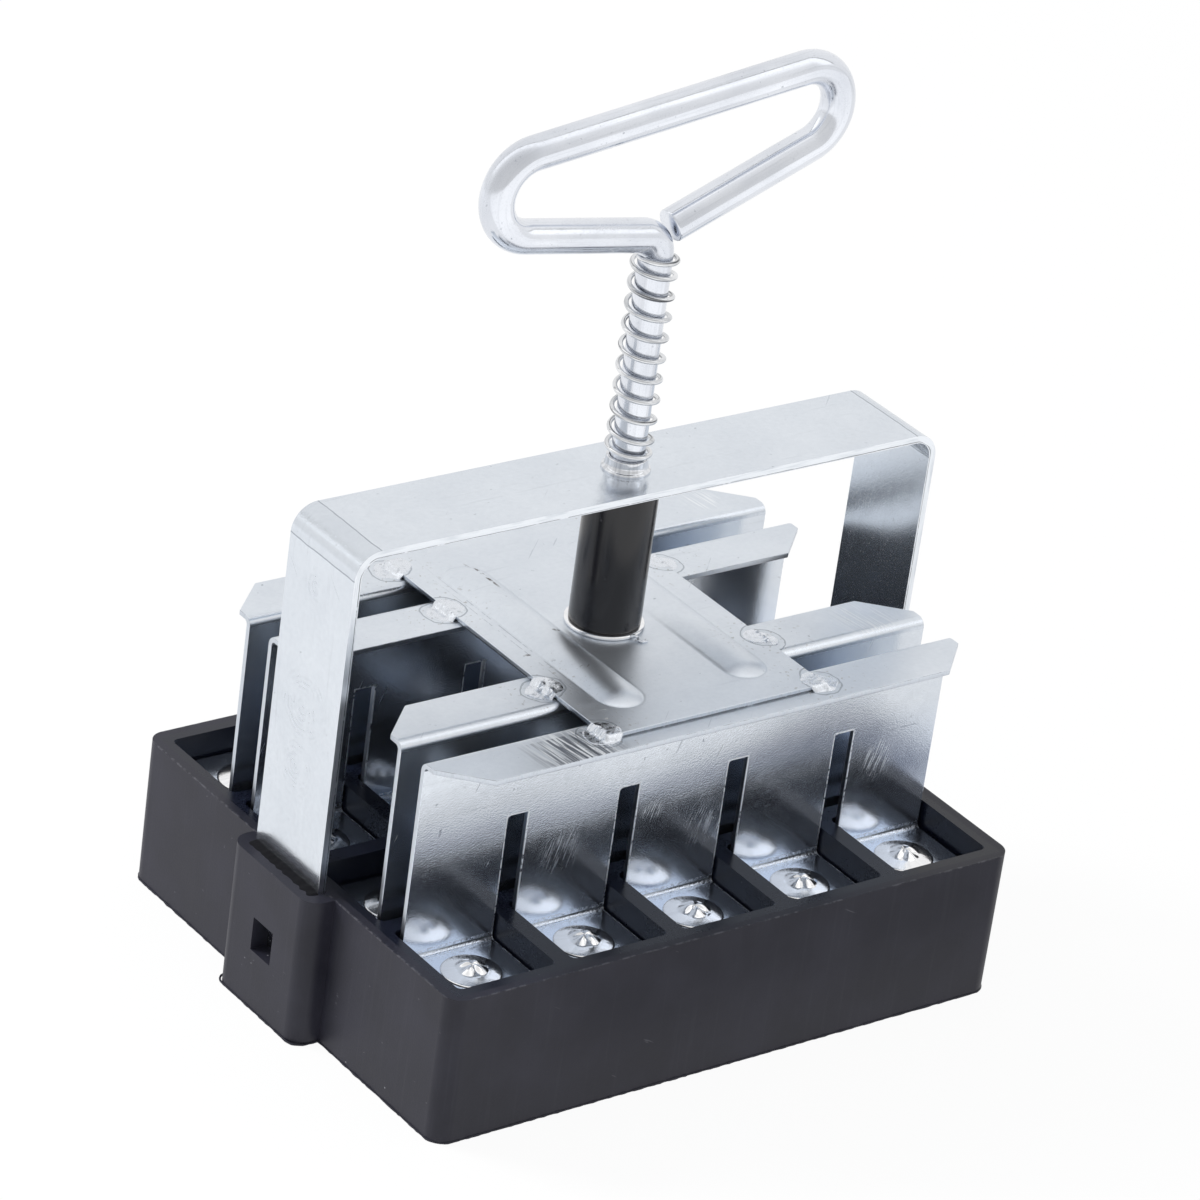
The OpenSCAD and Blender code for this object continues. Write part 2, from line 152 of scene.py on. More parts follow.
studioSettings = {
    "white": "#ffffff",
    "ambient": 0.70,  # light that the room gives to matt surfaces
    "shine": 0.95,  # how bright the room looks in metal
    "shineNear": 0.74,  # and on the camera's side of the room
    "shineFloor": 0.97,
    "floorMirrored": 0.85,  # share of plain white in the floor that metal mirrors; the rest is as it is lit
    "shadowX": (-0.030, -0.010, 0.106, 0.113),  # the shadow before the object, which the front walls mirror
    "shadowY": (-0.0975, -0.0910, -0.0760, -0.0680),
    "shadowBulge": (0.056, 0.23),  # where its edge starts to lie farther out towards the right, and how much
    "shadowColour": "#444c62",
    "shineAhead": 1.19,  # the floor beyond the shadow, painted brighter in what metal mirrors
    "aheadEdges": (-0.116, -0.099),
    "toCamera": (-0.635, -0.773, 0.0),
    "panel": 0.35,  # the panel's extra light, and where it starts and ends from back to front
    "panelEdges": (-0.255, -0.225, -0.02, 0.20),
    "nearEdges": (0.08, 0.62),
    "gapDark": 0.60,  # the dark slit between the panel and the back wall
    "gapPlace": -0.265,
    "gapWidth": 0.026,
    "overhead": (0.25, 0.40),
    "floorColour": "#f4f5f7",
    "floorShows": 0.06,  # share of the real floor, with its shadow, under the white
    "floorHalf": 4,
    "lampsAimAt": (0, 0, 0.06),
    "lamps": [
        {"name": "backLeftLamp", "place": (-0.66, 0.80, 0.78), "size": 0.4, "watts": 14.0},
        {"name": "frontLamp", "place": (-0.3, -1.1, 0.5), "size": 0.8, "watts": 1.5},
    ],
}


def product(tree, first, *others):
    for other in others:
        first = node(tree, "ShaderNodeMath", first, other, operation="MULTIPLY")
    return first


def band(tree, rising, falling, edges):  # 1 between the two middle edges, fading to 0 at the outer ones
    smooth = {"interpolation_type": "SMOOTHSTEP"}
    low = node(tree, "ShaderNodeMapRange", rising, *edges[:2], **smooth)
    high = node(tree, "ShaderNodeMapRange", falling, *edges[2:], 1.0, 0.0, **smooth)
    return product(tree, low, high)


def mirroredRays(tree, path):  # 1 for what metal and glass show
    kinds = (path["Is Glossy Ray"], path["Is Transmission Ray"])
    return node(tree, "ShaderNodeMath", *kinds, operation="MAXIMUM")


def makeRoom(s):
    world = bpy.data.worlds.new("whiteRoom")
    bpy.context.scene.world = world
    world.use_nodes = True
    tree = world.node_tree
    tree.nodes.clear()
    towards = node(tree, "ShaderNodeTexCoord", out="Generated")
    near = node(tree, "ShaderNodeVectorMath", towards, s["toCamera"], out="Value", operation="DOT_PRODUCT")
    up = node(tree, "ShaderNodeSeparateXYZ", towards, out="Z")
    high = node(tree, "ShaderNodeMapRange", up, *s["overhead"], interpolation_type="SMOOTHSTEP")
    panel = product(tree, band(tree, near, near, s["panelEdges"]), s["panel"])
    gap = node(tree, "ShaderNodeMath", near, s["gapPlace"], s["gapWidth"], operation="COMPARE")
    extra = node(tree, "ShaderNodeMath", panel, product(tree, gap, s["gapDark"]), operation="SUBTRACT")
    room = node(tree, "ShaderNodeMapRange", near, *s["nearEdges"], s["shine"], s["shineNear"],
                interpolation_type="SMOOTHSTEP")
    room = node(tree, "ShaderNodeMath", extra, high, room, operation="MULTIPLY_ADD")
    path = node(tree, "ShaderNodeLightPath", out=None)
    lit = node(tree, "ShaderNodeMix", {0: mirroredRays(tree, path), 2: s["ambient"], 3: room})
    lit = node(tree, "ShaderNodeMath", lit, path["Is Camera Ray"], operation="MAXIMUM")
    back = node(tree, "ShaderNodeBackground", {"Color": s["white"], "Strength": lit})
    node(tree, "ShaderNodeOutputWorld", back, out=None)


def makeFloor(s):
    half = s["floorHalf"]
    corners = [(-half, -half, 0), (half, -half, 0), (half, half, 0), (-half, half, 0)]
    floor = addPiece("floor", meshFrom("floor", corners, [(0, 1, 2, 3)], False))
    paper = bpy.data.materials.new("whitePaper")
    paper.use_nodes = True
    tree = paper.node_tree
    tree.nodes.clear()
    path = node(tree, "ShaderNodeLightPath", out=None)
    place = node(tree, "ShaderNodeSeparateXYZ", node(tree, "ShaderNodeTexCoord", out="Object"), out=None)
    start, lean = s["shadowBulge"]
    beyond = node(tree, "ShaderNodeMath", place["X"], start, operation="SUBTRACT")
    beyond = node(tree, "ShaderNodeMath", beyond, 0.0, operation="MAXIMUM")
    outward = node(tree, "ShaderNodeMath", beyond, lean, place["Y"], operation="MULTIPLY_ADD")
    shadow = product(tree, band(tree, place["X"], place["X"], s["shadowX"]),
                     band(tree, outward, place["Y"], s["shadowY"]),
                     node(tree, "ShaderNodeMath", 1.0, path["Is Camera Ray"], operation="SUBTRACT"))
    tint = {0: shadow, 6: s["white"], 7: s["shadowColour"]}
    tint = node(tree, "ShaderNodeMix", tint, out=2, data_type="RGBA")
    shine = node(tree, "ShaderNodeMapRange", outward, *s["aheadEdges"], s["shineAhead"], s["shineFloor"],
                 interpolation_type="SMOOTHSTEP")
    shine = node(tree, "ShaderNodeMix", {0: path["Is Camera Ray"], 2: shine, 3: 1.0})
    glow = node(tree, "ShaderNodeEmission", {"Color": tint, "Strength": shine})
    matt = node(tree, "ShaderNodeBsdfDiffuse", {"Color": s["floorColour"]})
    mirrored = product(tree, mirroredRays(tree, path), s["floorMirrored"])
    seen = product(tree, path["Is Camera Ray"], 1 - s["floorShows"])
    share = node(tree, "ShaderNodeMath", mirrored, seen, operation="MAXIMUM")
    node(tree, "ShaderNodeOutputMaterial", node(tree, "ShaderNodeMixShader", share, matt, glow), out=None)
    floor.data.materials.append(paper)


def makeLamps(s):
    for lamp in s["lamps"]:
        data = bpy.data.lights.new(lamp["name"], "AREA")
        data.shape, data.size, data.energy = "SQUARE", lamp["size"], lamp["watts"]
        light = bpy.data.objects.new(lamp["name"], data)
        light.location = lamp["place"]
        aim = Vector(s["lampsAimAt"]) - Vector(lamp["place"])
        light.rotation_euler = aim.to_track_quat("-Z", "Y").to_euler()
        light.visible_glossy = False
        bpy.context.scene.collection.objects.link(light)


makeCamera(cameraSettings)
makeRoom(studioSettings)
makeFloor(studioSettings)
makeLamps(studioSettings)
bpy.context.scene.view_settings.view_transform = "Standard"
print("camera and studio ready")


# Materials. A look has noises by name ("grains"), a noise that is used once more between other edges
# ("again"), the colours that lie over each other with the share of each ("layers"), and what all these add to
# roughness and height. "bump" is the height's depth and strength, and "wave" the size, depth and strength of
# slow waves under it. Lengths are in metres.

def grain(tree, place, size, detail=2, stretch=None, turn=(0, 0, 0), edges=None):  # 0 to 1 between its edges
    if stretch:
        lie = {"Scale": [1 / v for v in stretch], "Rotation": turn}
        place = node(tree, "ShaderNodeMapping", place, lie, vector_type="TEXTURE")
    made = node(tree, "ShaderNodeTexNoise", place, {"Scale": 1 / size, "Detail": detail}, out="Fac")
    return node(tree, "ShaderNodeMapRange", made, *edges) if edges else made


def sums(tree, signals, weights, total=0.0):  # adds up the named signals, each by its weight
    for name, weight in weights.items():
        total = node(tree, "ShaderNodeMath", signals[name], weight, total, operation="MULTIPLY_ADD")
    return total


def unsteady(tree, value, wander, amount):  # lets a measure wander to both sides
    value = node(tree, "ShaderNodeMath", wander, amount, value, operation="MULTIPLY_ADD")
    return node(tree, "ShaderNodeMath", value, amount / 2, operation="SUBTRACT")


def patches(tree, place, spots):  # 1 inside any of the oval spots; a spot is its middle and its half sizes
    deepest = 0.0
    for x, y, z, a, b, c in spots:
        away = node(tree, "ShaderNodeVectorMath", place, (x, y, z), operation="SUBTRACT")
        away = node(tree, "ShaderNodeVectorMath", away, (a, b, c), operation="DIVIDE")
        away = node(tree, "ShaderNodeVectorMath", away, out="Value", operation="LENGTH")
        inside = node(tree, "ShaderNodeMapRange", away, 1.0, 0.5)  # it fades over the outer half
        deepest = node(tree, "ShaderNodeMath", deepest, inside, operation="MAXIMUM")
    return deepest


def patternPlace(tree, pattern):  # where the noises lie: on the object, or along the piece's own attribute
    if not pattern:
        return node(tree, "ShaderNodeTexCoord", out="Object")
    place = node(tree, "ShaderNodeAttribute", out="Vector", attribute_name=pattern)
    if pattern != "around":
        return place
    flat = node(tree, "ShaderNodeSeparateXYZ", place, out=None)
    along = node(tree, "ShaderNodeAttribute", out="Fac", attribute_name="along")
    return node(tree, "ShaderNodeCombineXYZ", flat["X"], flat["Y"], along)


def extended(look, more):  # a look with more in its tables and lists; other values give way to the new ones
    joined = dict(look)
    for key, value in more.items():
        old = look.get(key)
        if isinstance(value, dict) and old:
            value = {**old, **value}
        elif isinstance(value, list) and old:
            value = old + value
        joined[key] = value
    return joined


def makeMaterial(name, look, pattern=None, marks=None):  # marks adds signals that aren't plain noises
    material = bpy.data.materials.new(name)
    material.use_nodes = True
    tree = material.node_tree
    surface = tree.nodes["Principled BSDF"].inputs
    surface["Base Color"].default_value = linear(look["colour"])
    surface["Roughness"].default_value = look["roughness"]
    surface["Metallic"].default_value = look.get("metallic", 0.0)
    surface["Specular IOR Level"].default_value = look.get("specular", 0.5)
    place = patternPlace(tree, pattern)
    signals = {key: grain(tree, place, **row) for key, row in look["grains"].items()}
    for key, (source, *edges) in look.get("again", {}).items():
        signals[key] = node(tree, "ShaderNodeMapRange", signals[source], *edges)
    if marks:
        signals.update(marks(tree, place, look, signals))
    colour = look["colour"]
    for above, weights in look["layers"]:
        layer = {0: sums(tree, signals, weights), 6: colour, 7: look[above]}
        colour = node(tree, "ShaderNodeMix", layer, out=2, data_type="RGBA")
    tree.links.new(colour, surface["Base Color"])
    if "rough" in look:
        rough = sums(tree, signals, look["rough"], look["roughness"] - look["roughMean"])
        tree.links.new(rough, surface["Roughness"])
    height = sums(tree, signals, look["height"])
    depth, strength = look["bump"]
    normal = node(tree, "ShaderNodeBump", {"Height": height, "Distance": depth, "Strength": strength})
    if "wave" in look:
        size, depth, strength = look["wave"]
        normal = node(tree, "ShaderNodeBump", {"Height": grain(tree, place, size, 1), "Distance": depth,
                                               "Strength": strength, "Normal": normal})
    tree.links.new(normal, surface["Normal"])
    return material


sheetLook = {  # galvanised mild steel: bright and blue-white, mirrors softly, with faint lines and specks
    "colour": "#e7ecf2",
    "shade": "#d3d9e1",
    "dark": "#7f8792",
    "metallic": 0.965,  # the zinc's thin dull film scatters a little light
    "roughness": 0.15,
    "roughMean": 0.065,  # what the noises add to the roughness on average
    "grains": {
        "cloud": {"size": 0.016, "detail": 4},
        "rolling": {"size": 0.0005, "detail": 3, "stretch": (0.03, 1, 1)},
        "lines": {"size": 0.0009, "detail": 3, "stretch": (0.02, 0.9, 0.9), "turn": (0, 0.05, 0.04),
                  "edges": (0.66, 0.72)},
        "scratch": {"size": 0.0008, "stretch": (0.05, 1, 0.05), "turn": (0.3, 0.5, 0.9),
                    "edges": (0.735, 0.76)},
        "specks": {"size": 0.00020, "edges": (0.64, 0.72)},
        "peel": {"size": 0.0010, "detail": 3},
        "flecks": {"size": 0.0013, "edges": (0.72, 0.78)},
        "sand": {"size": 0.00032},
    },
    "again": {"peelShade": ("peel", 0.4, 0.65)},
    "spangle": 0.0026,
    "layers": [
        ("shade", {"cloud": 0.8, "spangle": 0.08, "peelShade": 0.14}),
        ("dark", {"flecks": 0.5, "lines": 0.07, "scratch": 0.2, "specks": 0.07}),
    ],
    "rough": {"cloud": 0.08, "spangle": 0.03, "rolling": 0.03, "specks": 0.09, "scratch": 0.15},
    "height": {"rolling": 0.05, "lines": -0.04, "specks": 0.6, "scratch": -0.6, "flecks": -0.5,
               "peel": 0.5, "sand": 1.6},
    "bump": (0.00002, 0.45),
    "wave": (0.024, 0.0004, 0.45),
}


def zincSpangle(tree, place, look):
    cells = node(tree, "ShaderNodeTexVoronoi", place, {"Scale": 1 / look["spangle"]}, out="Color")
    return node(tree, "ShaderNodeSeparateColor", cells)


pressLook = extended(sheetLook, {  # and what welding, folding and handling left on the blades and the plate
    # a painted dark reflection on the front flange
    "deep": "#4c5263",
    "stain": "#8f8471",
    "rust": "#54453a",
    "inCell": "#d9e2f0",
    "bright": "#f4f7fa",
    "grains": {
        "wander": {"size": 0.004},
        "dirtGrain": {"size": 0.0009, "detail": 3, "edges": (0.63, 0.70)},
        "strokeGrain": {"size": 0.00045, "stretch": (1, 0.04, 1), "turn": (0, 0, 0.12),
                        "edges": (0.52, 0.58)},
        "deepGrain": {"size": 0.0010, "stretch": (1, 0.06, 1), "turn": (0, 0, 0.10), "edges": (0.42, 0.54)},
        "patchy": {"size": 0.0012, "detail": 3, "edges": (0.42, 0.52)},
        "rubGrain": {"size": 0.0003, "stretch": (1, 1, 0.06), "turn": (0, 0.3, 0), "edges": (0.46, 0.62)},
        "burrGrain": {"size": 0.0007, "edges": (0.36, 0.50)},
        "foldGrain": {"size": 0.0005, "edges": (0.45, 0.62)},
    },
    "welds": (0.0243, (0.0155, 0.0327)),  # how far from the middle, along x and along y
    "weldWander": 0.0018,
    "ring": (0.0040, 0.00016),  # the thin dark line round a weld: its radius and half width
    "heatFade": 0.0015,
    "dirtEdges": (0.012, 0.004),
    "topEdges": (0.0634, 0.0638),  # heights between which the flanges begin
    "paintedReflectionEdges": (0.052, 0.040),  # and between which the walls take a painted bluish reflection, down in the cells
    "foldLine": (0.0249, 0.0007),  # its height over the floor, and its half width
    "slots": (0.0241, 0.00210, 0.0489),  # their pitch, half width and top
    # the bright line round each slot is a burr and a painted highlight
    "burrAndHighlightHalf": 0.00016,
    # the painted dark reflection lies only before this y, in the front flange's buffed patch
    "paintedDarkReflectionBefore": -0.03,
    "buffedAndReflectionSpots": [
        (-0.0305, -0.034, 0, 0.0105, 0.0105, 0.0105),
        (0.047, -0.016, 0, 0.0070, 0.0070, 0.0070),
        (0.047, 0.034, 0, 0.0045, 0.0045, 0.0045),
    ],
    "stainSpots": [
        (-0.0112, 0.0218, 0.065, 0.0006, 0.0070, 0.003),
        (-0.0108, -0.0002, 0.065, 0.0011, 0.0005, 0.003),
        (-0.0204, -0.0050, 0.065, 0.0009, 0.0004, 0.003),
        (-0.0145, -0.0139, 0.065, 0.0015, 0.0006, 0.003),
    ],
    "lineSpots": [
        (-0.0187, 0.004, 0.065, 0.00014, 0.030, 0.003),
        (-0.0199, 0.0, 0.065, 0.00010, 0.030, 0.003),
        (0.0500, -0.0282, 0.0470, 0.0060, 0.002, 0.00014),
    ],
    "rubSpots": [
        (0.0450, -0.0282, 0.0415, 0.0045, 0.002, 0.0055),
        (-0.0061, -0.0282, 0.0426, 0.0030, 0.002, 0.0022),
        (-0.0257, -0.0282, 0.0383, 0.0055, 0.002, 0.0055),
        (0.0061, -0.0282, 0.0365, 0.0060, 0.002, 0.0060),
    ],
    "layers": [
        # painted bluish reflection on the walls low in the cells
        ("inCell", {"inCell": 1.0}),
        ("dark", {"line": 0.45}),
        ("deep", {"deep": 0.7}),
        ("bright", {"strokes": 0.9, "fold": 0.3, "rub": 0.22, "burr": 0.5}),
        ("dark", {"ring": 0.55, "heat": 0.10}),
        ("stain", {"dirt": 0.45}),
        ("rust", {"stain": 0.85}),
    ],
    "rough": {"heat": 0.04, "dirt": 0.25, "strokes": 0.25, "fold": 0.3, "onTop": 0.22, "stain": 0.3,
              "line": 0.1, "rub": 0.16, "burr": 0.35},
    "height": {"ring": -2.0, "dirt": 1.0, "strokes": 1.2, "fold": 2.5},
})


def pressMarks(tree, place, look, signals):
    parts = node(tree, "ShaderNodeSeparateXYZ", place, out=None)
    onTop = node(tree, "ShaderNodeMapRange", parts["Z"], *look["topEdges"])
    flat = node(tree, "ShaderNodeVectorMath", place, (1, 1, 0), operation="MULTIPLY")
    quarter = node(tree, "ShaderNodeVectorMath", flat, operation="ABSOLUTE")
    weldX, weldYs = look["welds"]
    nearest = 1.0
    for weldY in weldYs:
        weld = (weldX, weldY, 0)
        away = node(tree, "ShaderNodeVectorMath", quarter, weld, out="Value", operation="DISTANCE")
        nearest = node(tree, "ShaderNodeMath", nearest, away, operation="MINIMUM")
    nearest = unsteady(tree, nearest, signals["wander"], look["weldWander"])
    radius, half = look["ring"]
    ring = node(tree, "ShaderNodeMath", nearest, radius, half, operation="COMPARE")
    heat = node(tree, "ShaderNodeMapRange", nearest, radius, radius - look["heatFade"])
    nearWeld = node(tree, "ShaderNodeMapRange", nearest, *look["dirtEdges"])
    buffedAndReflection = product(tree, patches(tree, flat, look["buffedAndReflectionSpots"]), onTop)
    inFront = node(tree, "ShaderNodeMath", parts["Y"], look["paintedDarkReflectionBefore"], operation="LESS_THAN")
    pitch, slotHalf, slotTop = look["slots"]
    across = node(tree, "ShaderNodeMath", parts["X"], pitch, operation="PINGPONG")
    across = node(tree, "ShaderNodeMath", across, pitch / 2, operation="SUBTRACT")
    across = node(tree, "ShaderNodeMath", across, operation="ABSOLUTE")
    aside = node(tree, "ShaderNodeMath", across, slotHalf, operation="SUBTRACT")
    above = node(tree, "ShaderNodeMath", parts["Z"], slotTop, operation="SUBTRACT")
    beside = node(tree, "ShaderNodeMath", aside, above, operation="MAXIMUM")
    # a burr round each slot, painted brighter as a highlight
    burr = node(tree, "ShaderNodeMath", beside, look["burrAndHighlightHalf"], look["burrAndHighlightHalf"], operation="COMPARE")
    fold = node(tree, "ShaderNodeMath", parts["Z"], *look["foldLine"], operation="COMPARE")
    return {
        "spangle": zincSpangle(tree, place, look),
        "inCell": node(tree, "ShaderNodeMapRange", parts["Z"], *look["paintedReflectionEdges"]),
        "onTop": onTop,
        "ring": product(tree, ring, onTop),
        "heat": product(tree, heat, onTop),
        "dirt": product(tree, signals["dirtGrain"], nearWeld, onTop),
        "strokes": product(tree, buffedAndReflection, signals["strokeGrain"]),
        # a painted dark reflection on the front flange
        "deep": product(tree, buffedAndReflection, inFront, signals["deepGrain"]),
        "stain": product(tree, patches(tree, place, look["stainSpots"]), signals["patchy"]),
        "line": product(tree, patches(tree, place, look["lineSpots"]), signals["patchy"]),
        "rub": product(tree, patches(tree, place, look["rubSpots"]), signals["rubGrain"]),
        "burr": product(tree, burr, signals["burrGrain"]),
        "fold": product(tree, fold, signals["foldGrain"]),
    }


strapLook = extended(sheetLook, {  # on the straight bar: the bends' creases, painted shade over the bends and creases, and finger marks on the left leg
    "metallic": 0.985,
    "roughness": 0.16,
    "grains": {
        "wander": {"size": 0.004},
        "ridgeWander": {"size": 0.005},
        "pressed": {"size": 0.003, "edges": (0.42, 0.58)},
    },
    "creases": (0.0586, 0.06645),
    "creaseHalf": 0.00014,
    "creaseWander": 0.0006,
    "fingers": [(-0.0962, 0.0005, 0.0085), (-0.1082, 0.001, 0.0070), (-0.0730, 0.001, 0.0040)],
    "fingerCore": 0.55,  # share of a mark's radius that doesn't fade
    "ridge": 0.0011,  # from one ridge to the next, and how much the ridges bend
    "ridgeBend": 14.0,
    "ridgeEdges": (-0.2, 0.6),
    "ridgeShare": 0.7,
    "insideDepth": 0.0013,
    # bends a little darker and creases darker still: painted shade
    "layers": [("dark", {"bent": 0.08, "crease": 0.55, "prints": 0.10})],
    "rough": {"bent": 0.03, "prints": 0.13, "inside": 0.08},
    "height": {"crease": -3.0, "prints": 0.4},
})


def fingerMark(tree, flat, look, signals, x, y, size):
    away = node(tree, "ShaderNodeVectorMath", flat, (x, y, 0), out="Value", operation="DISTANCE")
    waved = sums(tree, {"away": away, "wander": signals["ridgeWander"]},
                 {"away": 2 * math.pi / look["ridge"], "wander": look["ridgeBend"]})
    ridges = node(tree, "ShaderNodeMath", waved, operation="SINE")
    ridges = node(tree, "ShaderNodeMapRange", ridges, *look["ridgeEdges"])
    share = look["ridgeShare"]
    ridges = node(tree, "ShaderNodeMath", ridges, share, 1 - share, operation="MULTIPLY_ADD")
    faded = node(tree, "ShaderNodeMapRange", away, size, size * look["fingerCore"])
    return product(tree, faded, signals["pressed"], ridges)


def strapMarks(tree, place, look, signals):
    parts = node(tree, "ShaderNodeSeparateXYZ", place, out=None)
    along = node(tree, "ShaderNodeMath", parts["X"], operation="ABSOLUTE")
    inside = node(tree, "ShaderNodeMath", parts["Z"], look["insideDepth"], operation="GREATER_THAN")
    outside = node(tree, "ShaderNodeMath", 1.0, inside, operation="SUBTRACT")
    shifted = unsteady(tree, along, signals["wander"], look["creaseWander"])
    crease = 0.0
    for x in look["creases"]:
        line = node(tree, "ShaderNodeMath", shifted, x, look["creaseHalf"], operation="COMPARE")
        crease = node(tree, "ShaderNodeMath", crease, line, operation="MAXIMUM")
    first, last = look["creases"]
    bent = node(tree, "ShaderNodeMath", along, (first + last) / 2, (last - first) / 2, operation="COMPARE")
    flat = node(tree, "ShaderNodeVectorMath", place, (1, 1, 0), operation="MULTIPLY")
    prints = 0.0
    for finger in look["fingers"]:
        mark = fingerMark(tree, flat, look, signals, *finger)
        prints = node(tree, "ShaderNodeMath", prints, mark, operation="MAXIMUM")
    return {"spangle": zincSpangle(tree, place, look), "inside": inside, "crease": crease, "bent": bent,
            "prints": product(tree, prints, outside)}


def edgeGrains(stretch):
    return {
        "lines": {"size": 0.0002, "stretch": stretch},
        "wander": {"size": 0.003},
        "patchy": {"size": 0.0022, "edges": (0.32, 0.42)},
    }


edgeLook = {  # the sheared edge of the same sheet: bright steel with fine lines and a dark one, partly where it tore and partly painted shade where the plate lies on the flange
    "colour": "#ced4dc",
    "shade": "#bcc3cb",
    "dark": "#4a4d52",
    "metallic": 1.0,
    "roughness": 0.28,
    "grains": edgeGrains((1, 1, 0.2)),
    "again": {"lineShade": ("lines", 0.5, 0.8)},
    "seam": (0.06414, 0.00020),  # where the dark line runs: its level and half width; at the plate's foot it is painted shade of the joint
    "seamWander": 0.0002,
    "layers": [("shade", {"lineShade": 1.0}), ("dark", {"seam": 0.75})],
    "height": {"lines": 1.0},
    "bump": (0.00001, 0.4),
}
stripLook = dict(edgeLook, colour="#e9edf2", grains=edgeGrains((0.03, 1, 1)), seam=(0.00118, 0.00008))


def edgeMarks(tree, place, look, signals):
    level = node(tree, "ShaderNodeSeparateXYZ", place, out="Z")
    level = unsteady(tree, level, signals["wander"], look["seamWander"])
    seam = node(tree, "ShaderNodeMath", level, *look["seam"], operation="COMPARE")
    return {"seam": product(tree, seam, signals["patchy"])}


def drawnGrains(line, cloud):  # they follow every bend, from the piece's own "around" and "along"
    return {
        "lines": {"size": line, "detail": 3, "stretch": (1, 1, 0.03)},
        "cloud": {"size": cloud, "detail": 3, "stretch": (1, 1, 0.5), "edges": (0.35, 0.75)},
        "satin": {"size": cloud / 2, "detail": 3, "stretch": (1, 1, 0.25), "edges": (0.45, 0.65)},
        "pits": {"size": 0.0008, "edges": (0.69, 0.76)},
        "specks": {"size": 0.0003, "edges": (0.52, 0.66)},
    }


rodLook = {  # drawn mild steel rod with bright zinc plate: faint lines along it, small pits
    "colour": "#e9ecf2",
    "shade": "#d2d6de",
    "pit": "#8b919b",
    "metallic": 1.0,
    "roughness": 0.16,
    "roughMean": 0.09,
    "grains": drawnGrains(0.0005, 0.008),
    "again": {"streaks": ("lines", 0.53, 0.66)},
    "layers": [("shade", {"cloud": 1.0}), ("pit", {"pits": 0.4, "streaks": 0.09, "specks": 0.05})],
    "rough": {"lines": 0.06, "satin": 0.12, "pits": 0.2, "specks": 0.09},
    "height": {"lines": 0.25, "pits": -0.6},
    "bump": (0.00003, 0.5),
}
wireLook = dict(  # drawn spring wire: bright, a little greyer than zinc, with dark lines along it, partly drawing lines and partly painted dark reflection
    rodLook, colour="#ecedef", shade="#bcbfc3", pit="#404246", roughness=0.09,
    grains=drawnGrains(0.0004, 0.004),
    layers=[("shade", {"cloud": 1.0}), ("pit", {"pits": 0.4, "streaks": 0.95, "specks": 0.05})],
    height={"lines": 0.6, "pits": -0.6})

turnedLook = {  # plated steel screws and rings: fine marks that run outward from the middle
    "colour": "#f7f7f8",
    "shade": "#cfd2d6",
    "metallic": 1.0,
    "roughness": 0.17,
    "roughMean": 0.05,
    "grains": {"streaks": {"size": 0.0009, "detail": 3, "stretch": (1, 1, 0.10)}},
    "again": {"streakShade": ("streaks", 0.45, 0.70)},
    "dents": {"size": 0.0012},  # these lie on the object, not along the marks
    "layers": [("shade", {"streakShade": 0.22})],
    "rough": {"streaks": 0.10},
    "height": {"streaks": 0.22, "dents": 0.5},
    "bump": (0.00012, 0.5),
}
bushLook = dict(  # drawn tube: glossier, with darker streaks, partly real and partly painted dark reflection
    turnedLook, colour="#e4e6ea", shade="#7d8188", roughness=0.10,
    layers=[("shade", {"streakShade": 0.35})], height={"streaks": 0.35, "dents": 0.5})


def turnedMarks(tree, place, look, signals):
    return {"dents": grain(tree, node(tree, "ShaderNodeTexCoord", out="Object"), **look["dents"])}


weldLook = {  # electric welds, left as they cooled: bright rounded drops, grey in the hollows
    "colour": "#e2e6ec",
    "shade": "#8d9198",
    "metallic": 1.0,
    "roughness": 0.22,
    "roughMean": 0.06,
    "grains": {"lumps": {"size": 0.0010, "detail": 3}},
    "again": {"hollows": ("lumps", 0.60, 0.74), "dulled": ("lumps", 0.3, 0.8)},
    "layers": [("shade", {"hollows": 0.5})],
    "rough": {"dulled": 0.26},
    "height": {"lumps": 1.0},
    "bump": (0.00025, 0.4),
}


def plasticGrains(flow, skin, stretch=None):
    return {
        "flow": {"size": flow, "detail": 3, "stretch": stretch},
        "skin": {"size": skin, "stretch": stretch},
        "drag": {"size": 0.0009, "detail": 3, "stretch": (1, 1, 0.03), "edges": (0.56, 0.70)},
        "scuff": {"size": 0.0009, "stretch": (0.08, 0.5, 1), "turn": (0.3, 0.5, 0.2), "edges": (0.74, 0.78)},
    }


sleeveLook = {  # black extruded nylon tube: smoother, with long faint lines
    "colour": "#0d0d12",
    "worn": "#26262c",
    "rub": "#55555b",
    "dustColour": "#7a7a7e",
    "roughness": 0.22,
    "roughMean": 0.12,
    "specular": 0.50,
    "grains": plasticGrains(0.006, 0.0005, (1, 1, 0.08)),
    "again": {"flowShade": ("flow", 0.4, 0.75)},
    "dustCell": 0.0045,  # a few of its cells hold a speck of dust
    "dustPicked": (0.84, 0.88),
    "dustEdges": (0.075, 0.045),
    "layers": [
        ("worn", {"flowShade": 0.5}),
        ("rub", {"scuff": 0.35, "drag": 0.025}),
        ("dustColour", {"dust": 0.7}),
    ],
    "rough": {"flow": 0.16, "skin": 0.10, "scuff": 0.1},
    "height": {"skin": 0.5, "flow": 1.0, "dust": 1.0},
    "bump": (0.00005, 0.5),
}
